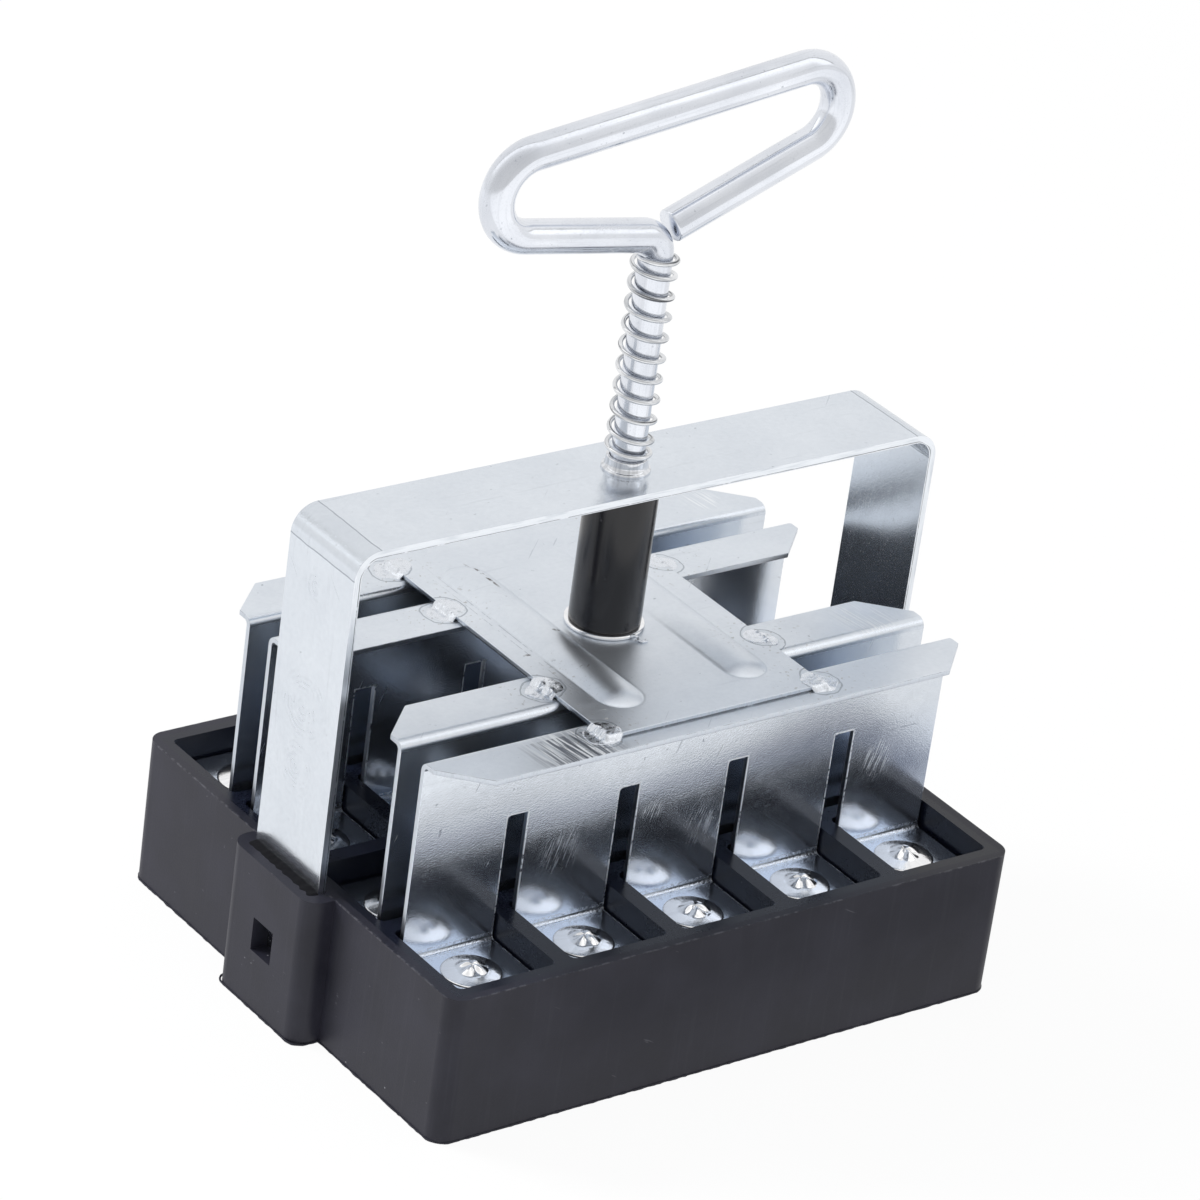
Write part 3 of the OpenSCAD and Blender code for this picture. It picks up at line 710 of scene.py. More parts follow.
mouldLook = extended(sleeveLook, {  # black polypropylene, injection moulded: satin, with painted shade in the cells, a lighter outer rim edge and dust
    "colour": "#1f1f29",
    "worn": "#33333e",
    "rub": "#6b6b72",
    "dustColour": "#9a9a9f",
    "insideColour": "#0a0f1d",
    "roughness": 0.46,
    "specular": 0.32,
    "grains": {
        **plasticGrains(0.013, 0.0004),
        "rimGrain": {"size": 0.0011, "detail": 3, "edges": (0.46, 0.62)},
    },
    "dustCell": 0.0024,
    "inside": (0.0602, 0.0484),  # the cells' outer reach along x and y
    "rimEnd": (0.0619, 0.00022),  # the lighter rim edge at the short ends: its middle along x and half width
    "rimSide": 0.0497,
    "rimLevel": 0.02902,
    # painted shade: the cells darker and bluer
    "layers": [("insideColour", {"inner": 0.8}), ("rub", {"wornRim": 0.40})],
    "rough": {"inner": -0.18},  # glossier in the cells
})
legLipLook = dict(  # polypropylene of the lip where each strap leg goes in: black and dull
    sleeveLook, colour="#0c0c10", worn="#17171c", roughness=0.7, specular=0.2,
    grains=plasticGrains(0.006, 0.0005))


def plasticMarks(tree, place, look, signals):
    dots = node(tree, "ShaderNodeTexVoronoi", place, {"Scale": 1 / look["dustCell"]}, out=None)
    picked = node(tree, "ShaderNodeSeparateColor", dots["Color"], out="Green")
    picked = node(tree, "ShaderNodeMapRange", picked, *look["dustPicked"])
    dust = node(tree, "ShaderNodeMapRange", dots["Distance"], *look["dustEdges"])
    return {"dust": product(tree, dust, picked)}


def mouldMarks(tree, place, look, signals):
    parts = node(tree, "ShaderNodeSeparateXYZ", place, out=None)
    x, y = (node(tree, "ShaderNodeMath", parts[axis], operation="ABSOLUTE") for axis in "XY")
    within = [node(tree, "ShaderNodeMath", part, reach, operation="LESS_THAN")
              for part, reach in zip((x, y), look["inside"])]
    ends = node(tree, "ShaderNodeMath", x, *look["rimEnd"], operation="COMPARE")
    sides = node(tree, "ShaderNodeMath", y, look["rimSide"], operation="GREATER_THAN")
    outer = node(tree, "ShaderNodeMath", ends, sides, operation="MAXIMUM")
    high = node(tree, "ShaderNodeMath", parts["Z"], look["rimLevel"], operation="GREATER_THAN")
    return {**plasticMarks(tree, place, look, signals), "inner": product(tree, *within),
            "wornRim": product(tree, outer, high, signals["rimGrain"])}


pressMetal = makeMaterial("galvanisedSheet", pressLook, marks=pressMarks)
strapMetal = makeMaterial("galvanisedStrap", strapLook, "unrolled", strapMarks)
cutEdge = makeMaterial("shearedEdge", edgeLook, marks=edgeMarks)
stripEdge = makeMaterial("rolledEdge", stripLook, "unrolled", edgeMarks)
platedRod = makeMaterial("zincPlatedRod", rodLook, "around")
springWire = makeMaterial("springWire", wireLook, "around")
turned = makeMaterial("turnedSteel", turnedLook, "spun", turnedMarks)
bushMetal = makeMaterial("drawnTube", bushLook, "spun", turnedMarks)
weldBeads = makeMaterial("weldBeads", weldLook)
mouldPlastic = makeMaterial("blackPolypropylene", mouldLook, marks=mouldMarks)
sleevePlastic = makeMaterial("blackNylonTube", sleeveLook, marks=plasticMarks)
roughPlastic = makeMaterial("roughPolypropylene", legLipLook, marks=plasticMarks)
print("materials ready")


# Pieces made from the CAD solids, with the softened edges that real sheet and mouldings have

softenSettings = {
    "merge": 2e-6,  # metres
    "flatAngle": 0.3,  # faces that turn less than this are one face, in degrees
    "edgeAngle": 28,
    "flatWeight": 80,
    "segments": 2,
}


def softened(nodeName, pieceName, edge, materials, cut=None):  # cut says which faces take the second material
    s = softenSettings
    shape = bmesh.new()
    shape.from_mesh(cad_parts[nodeName].data)
    bmesh.ops.remove_doubles(shape, verts=shape.verts, dist=s["merge"])
    flatAngle = math.radians(s["flatAngle"])
    bmesh.ops.dissolve_limit(shape, angle_limit=flatAngle, verts=shape.verts, edges=shape.edges)
    for face in shape.faces:
        face.smooth = True
        corners = [v.co for v in face.verts]
        size = Vector([max(c[i] for c in corners) - min(c[i] for c in corners) for i in range(3)]) / mm
        face.material_index = 1 if cut and cut(face.normal, size) else 0
    mesh = bpy.data.meshes.new(pieceName)
    shape.to_mesh(mesh)
    shape.free()
    for material in materials:
        mesh.materials.append(material)
    piece = addPiece(pieceName, mesh)
    bevel = piece.modifiers.new("edges", "BEVEL")
    bevel.width, bevel.segments = edge * mm, s["segments"]
    bevel.limit_method, bevel.angle_limit = "ANGLE", math.radians(s["edgeAngle"])
    bevel.miter_outer = "MITER_ARC"
    flat = piece.modifiers.new("flatFaces", "WEIGHTED_NORMAL")
    flat.mode, flat.weight = "FACE_AREA", s["flatWeight"]
    return toPlainMesh(piece)


# Mould

mouldSettings = {"edge": 0.35}


def makeMould(s):
    piece = softened("mold_frame", "mould", s["edge"], [mouldPlastic])
    finishPiece(piece, "mold", "mould_plastic", "mold_frame")


makeMould(mouldSettings)
print("mould made")


# Bridge strap: one flat bar, with its pattern unrolled along it

strapSettings = {
    "half": 63.6, "top": 96.0, "bend": 5.0, "edge": 0.28,
    "sideFacing": 0.9,  # faces turned at least this much along y are the bar's long edges
}


def unrolled(s, x, y, z):  # where a point of the bent bar lies on the straight one, and how deep in the sheet
    flat, side = s["half"] - s["bend"], s["top"] - s["bend"]
    beyond, over = abs(x) - flat, z - side
    if beyond <= 0:
        along, depth = abs(x), s["top"] - z
    elif over <= 0:
        along, depth = flat + math.pi / 2 * s["bend"] - over, s["half"] - abs(x)
    else:
        along, depth = flat + math.atan2(beyond, over) * s["bend"], s["bend"] - math.hypot(beyond, over)
    return [math.copysign(along, x) * mm, y * mm, depth * mm]


def makeStrap(s):
    piece = softened("bridge_strap", "bridgeStrap", s["edge"], [strapMetal, stripEdge],
                     lambda normal, size: abs(normal.y) > s["sideFacing"])
    places = []
    for vertex in piece.data.vertices:
        places += unrolled(s, *(vertex.co / mm))
    attribute = piece.data.attributes.new("unrolled", "FLOAT_VECTOR", "POINT")
    attribute.data.foreach_set("vector", places)
    finishPiece(piece, "mold", "sheet_steel", "bridge_strap")


makeStrap(strapSettings)
print("strap made")


# Blades

bladeSettings = {
    "rows": 4, "edge": 0.13,
    "thin": 1.2, "slotWide": 6,  # a face no larger than this, in mm, can be a cut one
    "facing": (0.3, 0.9, 0.5),  # how far it has to be turned along x, y or z
}


def isBladeCut(normal, size):  # the ends, the slots' sides and tops, and the free edges of flange and feet
    s = bladeSettings
    facesX, facesY, facesZ = (abs(normal[i]) > s["facing"][i] for i in range(3))
    if facesX:
        return True
    if facesY:
        return size.z < s["thin"]
    return facesZ and size.y < s["thin"] and size.x < s["slotWide"]


def makeBlades(s):
    for row in range(1, s["rows"] + 1):
        piece = softened("blade_%d" % row, "blade%d" % row, s["edge"], [pressMetal, cutEdge], isBladeCut)
        finishPiece(piece, "press", "sheet_steel", "blade_%d" % row)


makeBlades(bladeSettings)
print("blades made")


# Press plate: one stamped sheet with two hollow beads

plateSettings = {
    "thick": 1.0, "hole": 3.2, "edge": 0.14, "edgeAngle": 50, "edgeSegments": 2,
    "beadWidth": 9.0, "beadHeight": 1.2, "beadFrom": 13.7, "beadInset": 6.8,
    "groove": 0.07, "grooveWidth": 0.22,  # the small dip round a bead's foot
    "coarse": 1.2, "fine": 0.25,  # the mesh's steps: fine ones round the beads, and this far past them
    "zoneOver": 0.6, "zoneBack": 0.5,
    "snapShare": 0.6, "holeSlack": 0.01,
}


def gridLines(edge, zone, s):  # places from -edge to edge, close together where their distance is in the zone
    near, far = zone
    half = [0.0]
    for start, end, step in ((0, near, s["coarse"]), (near, far, s["fine"]), (far, edge, s["coarse"])):
        count = max(1, round((end - start) / step))
        half += [start + (end - start) * (k + 1) / count for k in range(count)]
    return [-v for v in reversed(half[1:])] + half


def beadRise(s, x, y, straight):
    half = s["beadWidth"] / 2
    away = math.hypot(abs(x) - s["beadFrom"], max(0.0, abs(y) - straight))
    arc = (half ** 2 + s["beadHeight"] ** 2) / (2 * s["beadHeight"])
    crown = math.sqrt(arc * arc - away * away) - (arc - s["beadHeight"]) if away < half else 0.0
    return crown - s["groove"] * math.exp(-((away - half) / s["grooveWidth"]) ** 2)


def plateSheet(s):
    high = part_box("press_plate")[1]
    width, length = high[0] / mm, high[1] / mm
    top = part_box("sleeve_ring")[0][2] / mm
    straight = length - s["beadInset"] - s["beadWidth"] / 2
    reach = s["beadWidth"] / 2 + s["zoneOver"]
    shape = bmesh.new()
    grid = []
    for x in gridLines(width, (s["beadFrom"] - reach, s["beadFrom"] + reach), s):
        grid.append([])
        for y in gridLines(length, (straight - s["zoneBack"], straight + reach), s):
            away = math.hypot(x, y)
            px, py = x, y
            if away > 0 and abs(away - s["hole"]) < s["coarse"] * s["snapShare"]:  # to the hole's rim
                px, py = x * s["hole"] / away, y * s["hole"] / away
            grid[-1].append(shape.verts.new((px * mm, py * mm, (top + beadRise(s, x, y, straight)) * mm)))
    for left, right in zip(grid, grid[1:]):
        for j in range(len(left) - 1):
            corners = [left[j], right[j], right[j + 1], left[j + 1]]
            if any(v.co.xy.length > (s["hole"] + s["holeSlack"]) * mm for v in corners):
                shape.faces.new(corners).smooth = True
    for vertex in [v for v in shape.verts if not v.link_faces]:
        shape.verts.remove(vertex)
    mesh = bpy.data.meshes.new("pressPlate")
    shape.to_mesh(mesh)
    shape.free()
    return mesh


def makePlate(s):
    mesh = plateSheet(s)
    mesh.materials.append(pressMetal)
    mesh.materials.append(cutEdge)
    piece = addPiece("pressPlate", mesh)
    wall = piece.modifiers.new("wall", "SOLIDIFY")
    wall.thickness, wall.offset, wall.material_offset_rim = s["thick"] * mm, -1, 1
    bevel = piece.modifiers.new("edges", "BEVEL")
    bevel.width, bevel.segments, bevel.harden_normals = s["edge"] * mm, s["edgeSegments"], True
    bevel.limit_method, bevel.angle_limit = "ANGLE", math.radians(s["edgeAngle"])
    finishPiece(toPlainMesh(piece), "press", "sheet_steel", "press_plate")


makePlate(plateSettings)
print("plate made")


# Round pieces turned about an upright axis

nearAxis = 0.0001  # the radius, in mm, where a turned profile stops short of its axis
patternRadius = 5  # the turned look runs along a circle of this size, so that its marks point outward


def lathe(name, profile, segments, dent=None):  # profile is a list of (radius, height) in mm
    points, faces, spun = [], [], []
    for r, z in profile:
        for k in range(segments):
            a = 2 * math.pi * k / segments
            x, y = r * math.cos(a), r * math.sin(a)
            points.append((x * mm, y * mm, (z - (dent(x, y, z) if dent else 0)) * mm))
            px, py = patternRadius * math.cos(a), patternRadius * math.sin(a)
            spun += [px * mm, py * mm, math.hypot(r, z) * mm]
    for i in range(len(profile) - 1):
        for k in range(segments):
            a, b = i * segments + k, i * segments + (k + 1) % segments
            faces.append((a, a + segments, b + segments, b))
    mesh = meshFrom(name, points, faces)
    mesh.attributes.new("spun", "FLOAT_VECTOR", "POINT").data.foreach_set("vector", spun)
    tidyMesh(mesh)
    return mesh


def rounded(corners, radius, steps=4, closed=False):  # softens the corners of a profile or a closed outline
    radii = radius if isinstance(radius, (list, tuple)) else [radius] * len(corners)
    largest = 0.48  # share of an edge that one corner's rounding can take
    count = len(corners)
    inner = range(count) if closed else range(1, count - 1)
    profile = [] if closed else [tuple(corners[0])]
    for i in inner:
        here = Vector(corners[i])
        back, ahead = Vector(corners[i - 1]) - here, Vector(corners[(i + 1) % count]) - here
        cut = min(radii[i], back.length * largest, ahead.length * largest)
        back, ahead = back.normalized() * cut, ahead.normalized() * cut
        for k in range(steps + 1):
            turn = math.pi / 2 * k / steps
            profile.append(tuple(here + back * (1 - math.sin(turn)) + ahead * (1 - math.cos(turn))))
    return profile if closed else profile + [tuple(corners[-1])]


tubeSettings = {
    "segments": 72,
    "sharpAngle": 50,
    "sleeve": {"outer": 6.6, "bore": 3.2, "low": 65.8, "high": 94.3, "edge": 0.35, "slot": "sleeve_plastic"},
    "ring": {"outer": 7.4, "bore": 3.2, "low": 65.0, "high": 65.8, "edge": 0.38, "slot": "turned_steel"},
    "bush": {
        "outer": 3.8, "bore": 3.18, "low": 94.5, "high": 98.6, "edge": 0.2, "slot": "turned_steel",
        "skirt": {"outer": 4.5, "low": 95.9, "high": 96.45, "sweep": 0.9,
                  "waist": (0.3, 0.25)},  # shares of the way out and up where the sweep turns
    },
}


def skirtCorners(s, skirt):  # the bush is pressed outward where it meets the strap, with a sweep above that
    out, up = skirt["waist"]
    return [(s["outer"], skirt["high"] + skirt["sweep"]),
            (s["outer"] + (skirt["outer"] - s["outer"]) * out, skirt["high"] + skirt["sweep"] * up),
            (skirt["outer"], skirt["high"]), (skirt["outer"], skirt["low"]), (s["outer"], skirt["low"])]


def makeTube(name, s, body, material, replaced):
    middle = ((s["bore"] + s["outer"]) / 2, s["low"])
    skirt = skirtCorners(s, s["skirt"]) if "skirt" in s else []
    corners = [middle, (s["bore"], s["low"]), (s["bore"], s["high"]), (s["outer"], s["high"]), *skirt,
               (s["outer"], s["low"]), middle]
    mesh = lathe(name, rounded(corners, s["edge"]), tubeSettings["segments"])
    mesh.materials.append(material)
    mesh.set_sharp_from_angle(angle=math.radians(tubeSettings["sharpAngle"]))
    finishPiece(addPiece(name, mesh), body, s["slot"], replaced)


makeTube("stopSleeve", tubeSettings["sleeve"], "press", sleevePlastic, "stop_sleeve")
makeTube("sleeveRing", tubeSettings["ring"], "press", turned, "sleeve_ring")
makeTube("guideBush", tubeSettings["bush"], "mold", bushMetal, "guide_bush")
print("sleeve, ring and bush made")


# Rod and spring: one Geometry Nodes tree sweeps a round section along a path

def newTree(name, sockets):
    tree = bpy.data.node_groups.new(name, "GeometryNodeTree")
    tree.interface.new_socket("Geometry", in_out="OUTPUT", socket_type="NodeSocketGeometry")
    for label, kind, value in sockets:
        socket = tree.interface.new_socket(label, in_out="INPUT", socket_type="NodeSocket" + kind)
        if value is not None:
            socket.default_value = value
    return tree, node(tree, "NodeGroupInput", out=None)


def closeTree(tree, shape, finish):
    real = node(tree, "GeometryNodeRealizeInstances", shape)
    done = node(tree, "GeometryNodeSetMaterial", {"Geometry": real, "Material": finish})
    node(tree, "NodeGroupOutput", done, out=None)
    return tree


def sweepTree():
    tree, given = newTree("sweepRound", [
        ("Geometry", "Geometry", None), ("Radius", "Float", 0.003), ("Sides", "Int", 32),
        ("End Rounding", "Float", 0.0003), ("Ragged", "Float", 0.0), ("Rag Size", "Float", 0.0015),
        ("Finish", "Material", None)])
    path = node(tree, "GeometryNodeMeshToCurve", given["Geometry"])
    run = node(tree, "GeometryNodeSplineParameter", out="Length")
    whole = node(tree, "GeometryNodeSplineLength", out="Length")
    # a quarter round at each end: the section shrinks by 1 - sqrt(1 - back * back) times the rounding
    left = node(tree, "ShaderNodeMath", whole, run, operation="SUBTRACT")
    near = node(tree, "ShaderNodeMath", run, left, operation="MINIMUM")
    share = node(tree, "ShaderNodeMath", near, given["End Rounding"], operation="DIVIDE")
    share = node(tree, "ShaderNodeClamp", share)
    back = node(tree, "ShaderNodeMath", 1.0, share, operation="SUBTRACT")
    arc = node(tree, "ShaderNodeMath", back, back, operation="MULTIPLY")
    arc = node(tree, "ShaderNodeMath", 1.0, arc, operation="SUBTRACT")
    arc = node(tree, "ShaderNodeMath", arc, operation="SQRT")
    inset = node(tree, "ShaderNodeMath", 1.0, arc, operation="SUBTRACT")
    inset = node(tree, "ShaderNodeMath", inset, given["End Rounding"], operation="MULTIPLY")
    inset = node(tree, "ShaderNodeMath", inset, given["Radius"], operation="DIVIDE")
    scale = node(tree, "ShaderNodeMath", 1.0, inset, operation="SUBTRACT")
    # a ragged thread swells and thins with a noise, to a tenth at the least
    often = node(tree, "ShaderNodeMath", 1.0, given["Rag Size"], operation="DIVIDE")
    rags = node(tree, "ShaderNodeTexNoise", {"Scale": often, "Detail": 2.0}, out="Fac")
    rags = node(tree, "ShaderNodeMath", rags, 0.5, operation="SUBTRACT")
    rags = node(tree, "ShaderNodeMath", rags, given["Ragged"], operation="MULTIPLY")
    rags = node(tree, "ShaderNodeMath", rags, 1.0, operation="ADD")
    rags = node(tree, "ShaderNodeMath", rags, 0.1, operation="MAXIMUM")
    scale = node(tree, "ShaderNodeMath", scale, rags, operation="MULTIPLY")
    path = node(tree, "GeometryNodeStoreNamedAttribute", {"Geometry": path, "Name": "along", "Value": run},
                data_type="FLOAT", domain="POINT")
    ring = node(tree, "GeometryNodeCurvePrimitiveCircle",
                {"Resolution": given["Sides"], "Radius": given["Radius"]})
    ringPlace = node(tree, "GeometryNodeInputPosition")
    ring = node(tree, "GeometryNodeStoreNamedAttribute",
                {"Geometry": ring, "Name": "around", "Value": ringPlace},
                data_type="FLOAT_VECTOR", domain="POINT")
    swept = node(tree, "GeometryNodeCurveToMesh",
                 {"Curve": path, "Profile Curve": ring, "Scale": scale, "Fill Caps": True})
    return closeTree(tree, node(tree, "GeometryNodeSetShadeSmooth", swept), given["Finish"])


def setInputs(modifier, values):
    for item in modifier.node_group.interface.items_tree:
        if item.item_type == "SOCKET" and item.in_out == "INPUT" and item.name in values:
            modifier[item.identifier] = values[item.name]


sweepRound = sweepTree()
sweepSharpAngle = 60  # the rim of a cut end stays sharp


def sweepAlong(name, points, values, closed=False):
    mesh = bpy.data.meshes.new(name)
    edges = [(i, i + 1) for i in range(len(points) - 1)]
    mesh.from_pydata([Vector(p) * mm for p in points], edges + [(len(points) - 1, 0)] * closed, [])
    piece = addPiece(name, mesh)
    modifier = piece.modifiers.new("sweep", "NODES")
    modifier.node_group = sweepRound
    setInputs(modifier, values)
    toPlainMesh(piece)
    piece.data.set_sharp_from_angle(angle=math.radians(sweepSharpAngle))
    return piece


handleSettings = {
    "radius": 3.1, "foot": 61.4, "bendHeight": 141.19, "bendRadius": 4.0,
    "loopWidth": 71.8, "loopRadius": 7.8, "gripHeight": 23.8, "gripTilt": 7.7,
    "armTilt": 21.2, "endGap": 0.5, "endRounding": 0.35,
    "sides": 40, "shaftSteps": 30, "bendSteps": 14, "turnSteps": 32,
    "endSteps": (0.5, 0.35, 0.2, 0.1, 0.04, 0),  # distances before the cut end, close enough for its rounding
}


def arcPoints(centre, r, start, end, steps):
    return [(centre[0] + r * math.cos(a), centre[1] + r * math.sin(a))
            for a in (math.radians(start + (end - start) * k / steps) for k in range(steps + 1))]


def handlePath(s):  # the same rule as the CAD rod's: shaft, bend, arm, turn, grip, turn and returning arm
    tilt, r = math.radians(s["gripTilt"]), s["loopRadius"]
    turnX = s["loopWidth"] / 2 - r
    rise, drop = turnX * math.tan(tilt), r / math.cos(tilt)
    leftRise = s["gripHeight"] - rise - drop
    slope = math.degrees(math.atan2(leftRise, turnX) - math.asin(r / math.hypot(turnX, leftRise)))
    grip = s["bendHeight"] + s["gripHeight"]
    bend = (-s["bendRadius"], s["bendHeight"] - s["bendRadius"] * math.tan(math.radians(90 - slope) / 2))
    left, right = (-turnX, grip - rise - drop), (turnX, grip + rise - drop)
    back = math.radians(s["armTilt"])
    up, run = (-math.sin(back), math.cos(back)), (math.cos(back), math.sin(back))
    low = [right[k] - (r + s["radius"]) * up[k] - bend[k] for k in (0, 1)]
    off = low[0] * up[0] + low[1] * up[1]
    stop = s["bendRadius"] + s["radius"] + s["endGap"]
    reach = math.sqrt(max(0.0, stop * stop - off * off))
    end = [bend[k] + (off + s["radius"]) * up[k] + reach * run[k] for k in (0, 1)]
    path = [(0, s["foot"] + (bend[1] - s["foot"]) * k / s["shaftSteps"]) for k in range(s["shaftSteps"])]
    path += arcPoints(bend, s["bendRadius"], 0, 90 - slope, s["bendSteps"])
    path += arcPoints(left, r, 270 - slope, 90 + s["gripTilt"], s["turnSteps"])
    path += arcPoints(right, r, 90 + s["gripTilt"], s["armTilt"] - 90, s["turnSteps"])
    path += [(end[0] + run[0] * before, end[1] + run[1] * before) for before in s["endSteps"]]
    return [(x, 0, z) for x, z in path]


def makeHandle(s):
    values = {"Radius": s["radius"] * mm, "Sides": s["sides"], "End Rounding": s["endRounding"] * mm,
              "Finish": platedRod}
    finishPiece(sweepAlong("rodHandle", handlePath(s), values), "press", "zinc_rod", "handle")


springSettings = {
    "outer": 8.8, "wire": 0.9, "low": 99.15, "rise": 38.7, "turns": 10.5, "endPitch": 2.4,
    "endRounding": 0.12,
    "anchor": 98.6, "stroke": 19.0,  # where it stands, and how far the press goes down on it
    "stepsPerTurn": 40, "sides": 12,
}


def springPath(s):
    r = (s["outer"] - s["wire"]) / 2
    pitch = (s["rise"] - 2 * s["endPitch"]) / (s["turns"] - 2)
    count = round(s["turns"] * s["stepsPerTurn"])
    points = []
    for i in range(count + 1):
        n = i / s["stepsPerTurn"]
        if n < 1:
            z = n * s["endPitch"]
        elif n > s["turns"] - 1:
            z = s["rise"] - (s["turns"] - n) * s["endPitch"]
        else:
            z = s["endPitch"] + (n - 1) * pitch
        a = 2 * math.pi * (s["turns"] - n)
        points.append((-r * math.cos(a), -r * math.sin(a), s["low"] + z))
    return points


def makeSpring(s):
    values = {"Radius": s["wire"] / 2 * mm, "Sides": s["sides"], "End Rounding": s["endRounding"] * mm,
              "Finish": springWire}
    piece = sweepAlong("returnSpring", springPath(s), values)
    finishPiece(piece, "mold", "spring_wire", "return_spring")
    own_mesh(piece)


makeHandle(handleSettings)
makeSpring(springSettings)
print("rod and spring made")


# Screws and seed pins: a Geometry Nodes tree sets one shape on every foot

def scatterTree():
    tree, given = newTree("setOnPoints", [
        ("Geometry", "Geometry", None), ("Shape", "Object", None), ("Turn", "Float", 6.283),
        ("Lean", "Float", 0.0), ("Seed", "Int", 4), ("Finish", "Material", None)])
    shape = node(tree, "GeometryNodeObjectInfo", {"Object": given["Shape"]}, out="Geometry")
    away = node(tree, "ShaderNodeMath", given["Lean"], -1.0, operation="MULTIPLY")
    low = node(tree, "ShaderNodeCombineXYZ", away, away, 0.0)
    high = node(tree, "ShaderNodeCombineXYZ", given["Lean"], given["Lean"], given["Turn"])
    turn = node(tree, "FunctionNodeRandomValue", low, high, {"Seed": given["Seed"]}, data_type="FLOAT_VECTOR")
    placed = node(tree, "GeometryNodeInstanceOnPoints",
                  {"Points": given["Geometry"], "Instance": shape, "Rotation": turn})
    return closeTree(tree, placed, given["Finish"])


setOnPoints = scatterTree()


def setOut(name, shapeMesh, places, values, sharpAngle):
    shape = addPiece(name + "Shape", shapeMesh)
    mesh = bpy.data.meshes.new(name)
    mesh.from_pydata([Vector(p) * mm for p in places], [], [])
    piece = addPiece(name, mesh)
    modifier = piece.modifiers.new("places", "NODES")
    modifier.node_group = setOnPoints
    setInputs(modifier, dict(values, Shape=shape))
    toPlainMesh(piece)
    bpy.data.objects.remove(shape)
    piece.data.set_sharp_from_angle(angle=math.radians(sharpAngle))
    return piece


footSettings = {
    "columns": 5, "pitch": 24.1, "rows": (-36.15, -12.05, 12.05, 36.15), "top": 24.2, "thick": 1.0,
}


def footPlaces(s, height):
    middle = (s["columns"] - 1) / 2
    return [((i - middle) * s["pitch"], y, height) for y in s["rows"] for i in range(s["columns"])]


screwSettings = {
    "head": 5.5, "edge": 0.26, "edgeRound": 0.12, "dome": 1.0, "shank": 2.0, "shankLength": 2.6,
    "knob": 3.0, "knobRise": 1.1, "knobPowers": (2.2, 1.15),
    "valleys": 4, "valleyDepth": 0.6, "narrow": 1.6, "valleyPower": 0.8,  # they part the knob into lobes
    "dip": 0.35, "dipWidth": 0.7,
    "knobSteps": 18, "brimSteps": 10, "segments": 64, "sharpAngle": 70,
    "turn": 6.283, "lean": 0.012, "seed": 7,  # each screw is turned and tipped by chance
}


def screwProfile(s):  # from the middle outward: a round knob, a wide lens-shaped washer head and the shank
    def lens(r):
        return s["edge"] + (s["dome"] - s["edge"]) * (1 - (r / s["head"]) ** 2)

    flatter, steeper = s["knobPowers"]
    profile = []
    for k in range(s["knobSteps"] + 1):
        r = s["knob"] * k / s["knobSteps"]
        rise = s["knobRise"] * max(0.0, 1 - (r / s["knob"]) ** flatter) ** steeper
        profile.append((max(r, nearAxis), lens(r) + rise))
    for k in range(1, s["brimSteps"] + 1):
        r = s["knob"] + (s["head"] - s["edgeRound"] - s["knob"]) * k / s["brimSteps"]
        profile.append((r, lens(r)))
    return profile + [(s["head"], s["edge"] - s["edgeRound"]), (s["head"], 0.0), (s["shank"], 0.0),
                      (s["shank"], -s["shankLength"]), (nearAxis, -s["shankLength"])]


def makeScrews(s, foot):
    def dent(x, y, z):  # the valleys, and a dip in the knob's middle
        r = math.hypot(x, y)
        if z < s["edge"] or r > s["knob"]:
            return 0.0
        valley = ((1 + math.cos(s["valleys"] * math.atan2(y, x))) / 2) ** s["narrow"]
        valley *= math.sin(math.pi * r / s["knob"]) ** s["valleyPower"]
        return s["valleyDepth"] * valley + s["dip"] * math.exp(-(r / s["dipWidth"]) ** 2)

    shape = lathe("screwShape", screwProfile(s), s["segments"], dent)
    values = {"Turn": s["turn"], "Lean": s["lean"], "Seed": s["seed"], "Finish": turned}
    piece = setOut("screws", shape, footPlaces(foot, foot["top"]), values, s["sharpAngle"])
    finishPiece(piece, "press", "screw_steel", "screws_1", "screws_2", "screws_3", "screws_4")


pinSettings = {
    "radius": 4.0, "length": 4.0, "tip": 1.54,
    "waist": (2.95, 0.66),  # its radius, and what share of the length it is down
    "round": 0.9, "roundSteps": 5, "segments": 40, "sharpAngle": 50,
    "turn": 6.283, "seed": 3,
}


def makePins(s, foot):
    waist, down = s["waist"]
    corners = [(nearAxis, 0), (s["radius"], 0), (waist, -s["length"] * down), (s["tip"], -s["length"]),
               (nearAxis, -s["length"])]
    shape = lathe("pinShape", rounded(corners, s["round"], s["roundSteps"]), s["segments"])
    places = footPlaces(foot, foot["top"] - foot["thick"])
    values = {"Turn": s["turn"], "Lean": 0.0, "Seed": s["seed"], "Finish": sleevePlastic}
    piece = setOut("seedPins", shape, places, values, s["sharpAngle"])
    finishPiece(piece, "press", "pin_plastic", "seed_pins_1", "seed_pins_2", "seed_pins_3", "seed_pins_4")


makeScrews(screwSettings, footSettings)
makePins(pinSettings, footSettings)
print("screws and pins made")


# Welds: a thin melted pool over the plate's edge at each flange, with a few raised drops, each one different

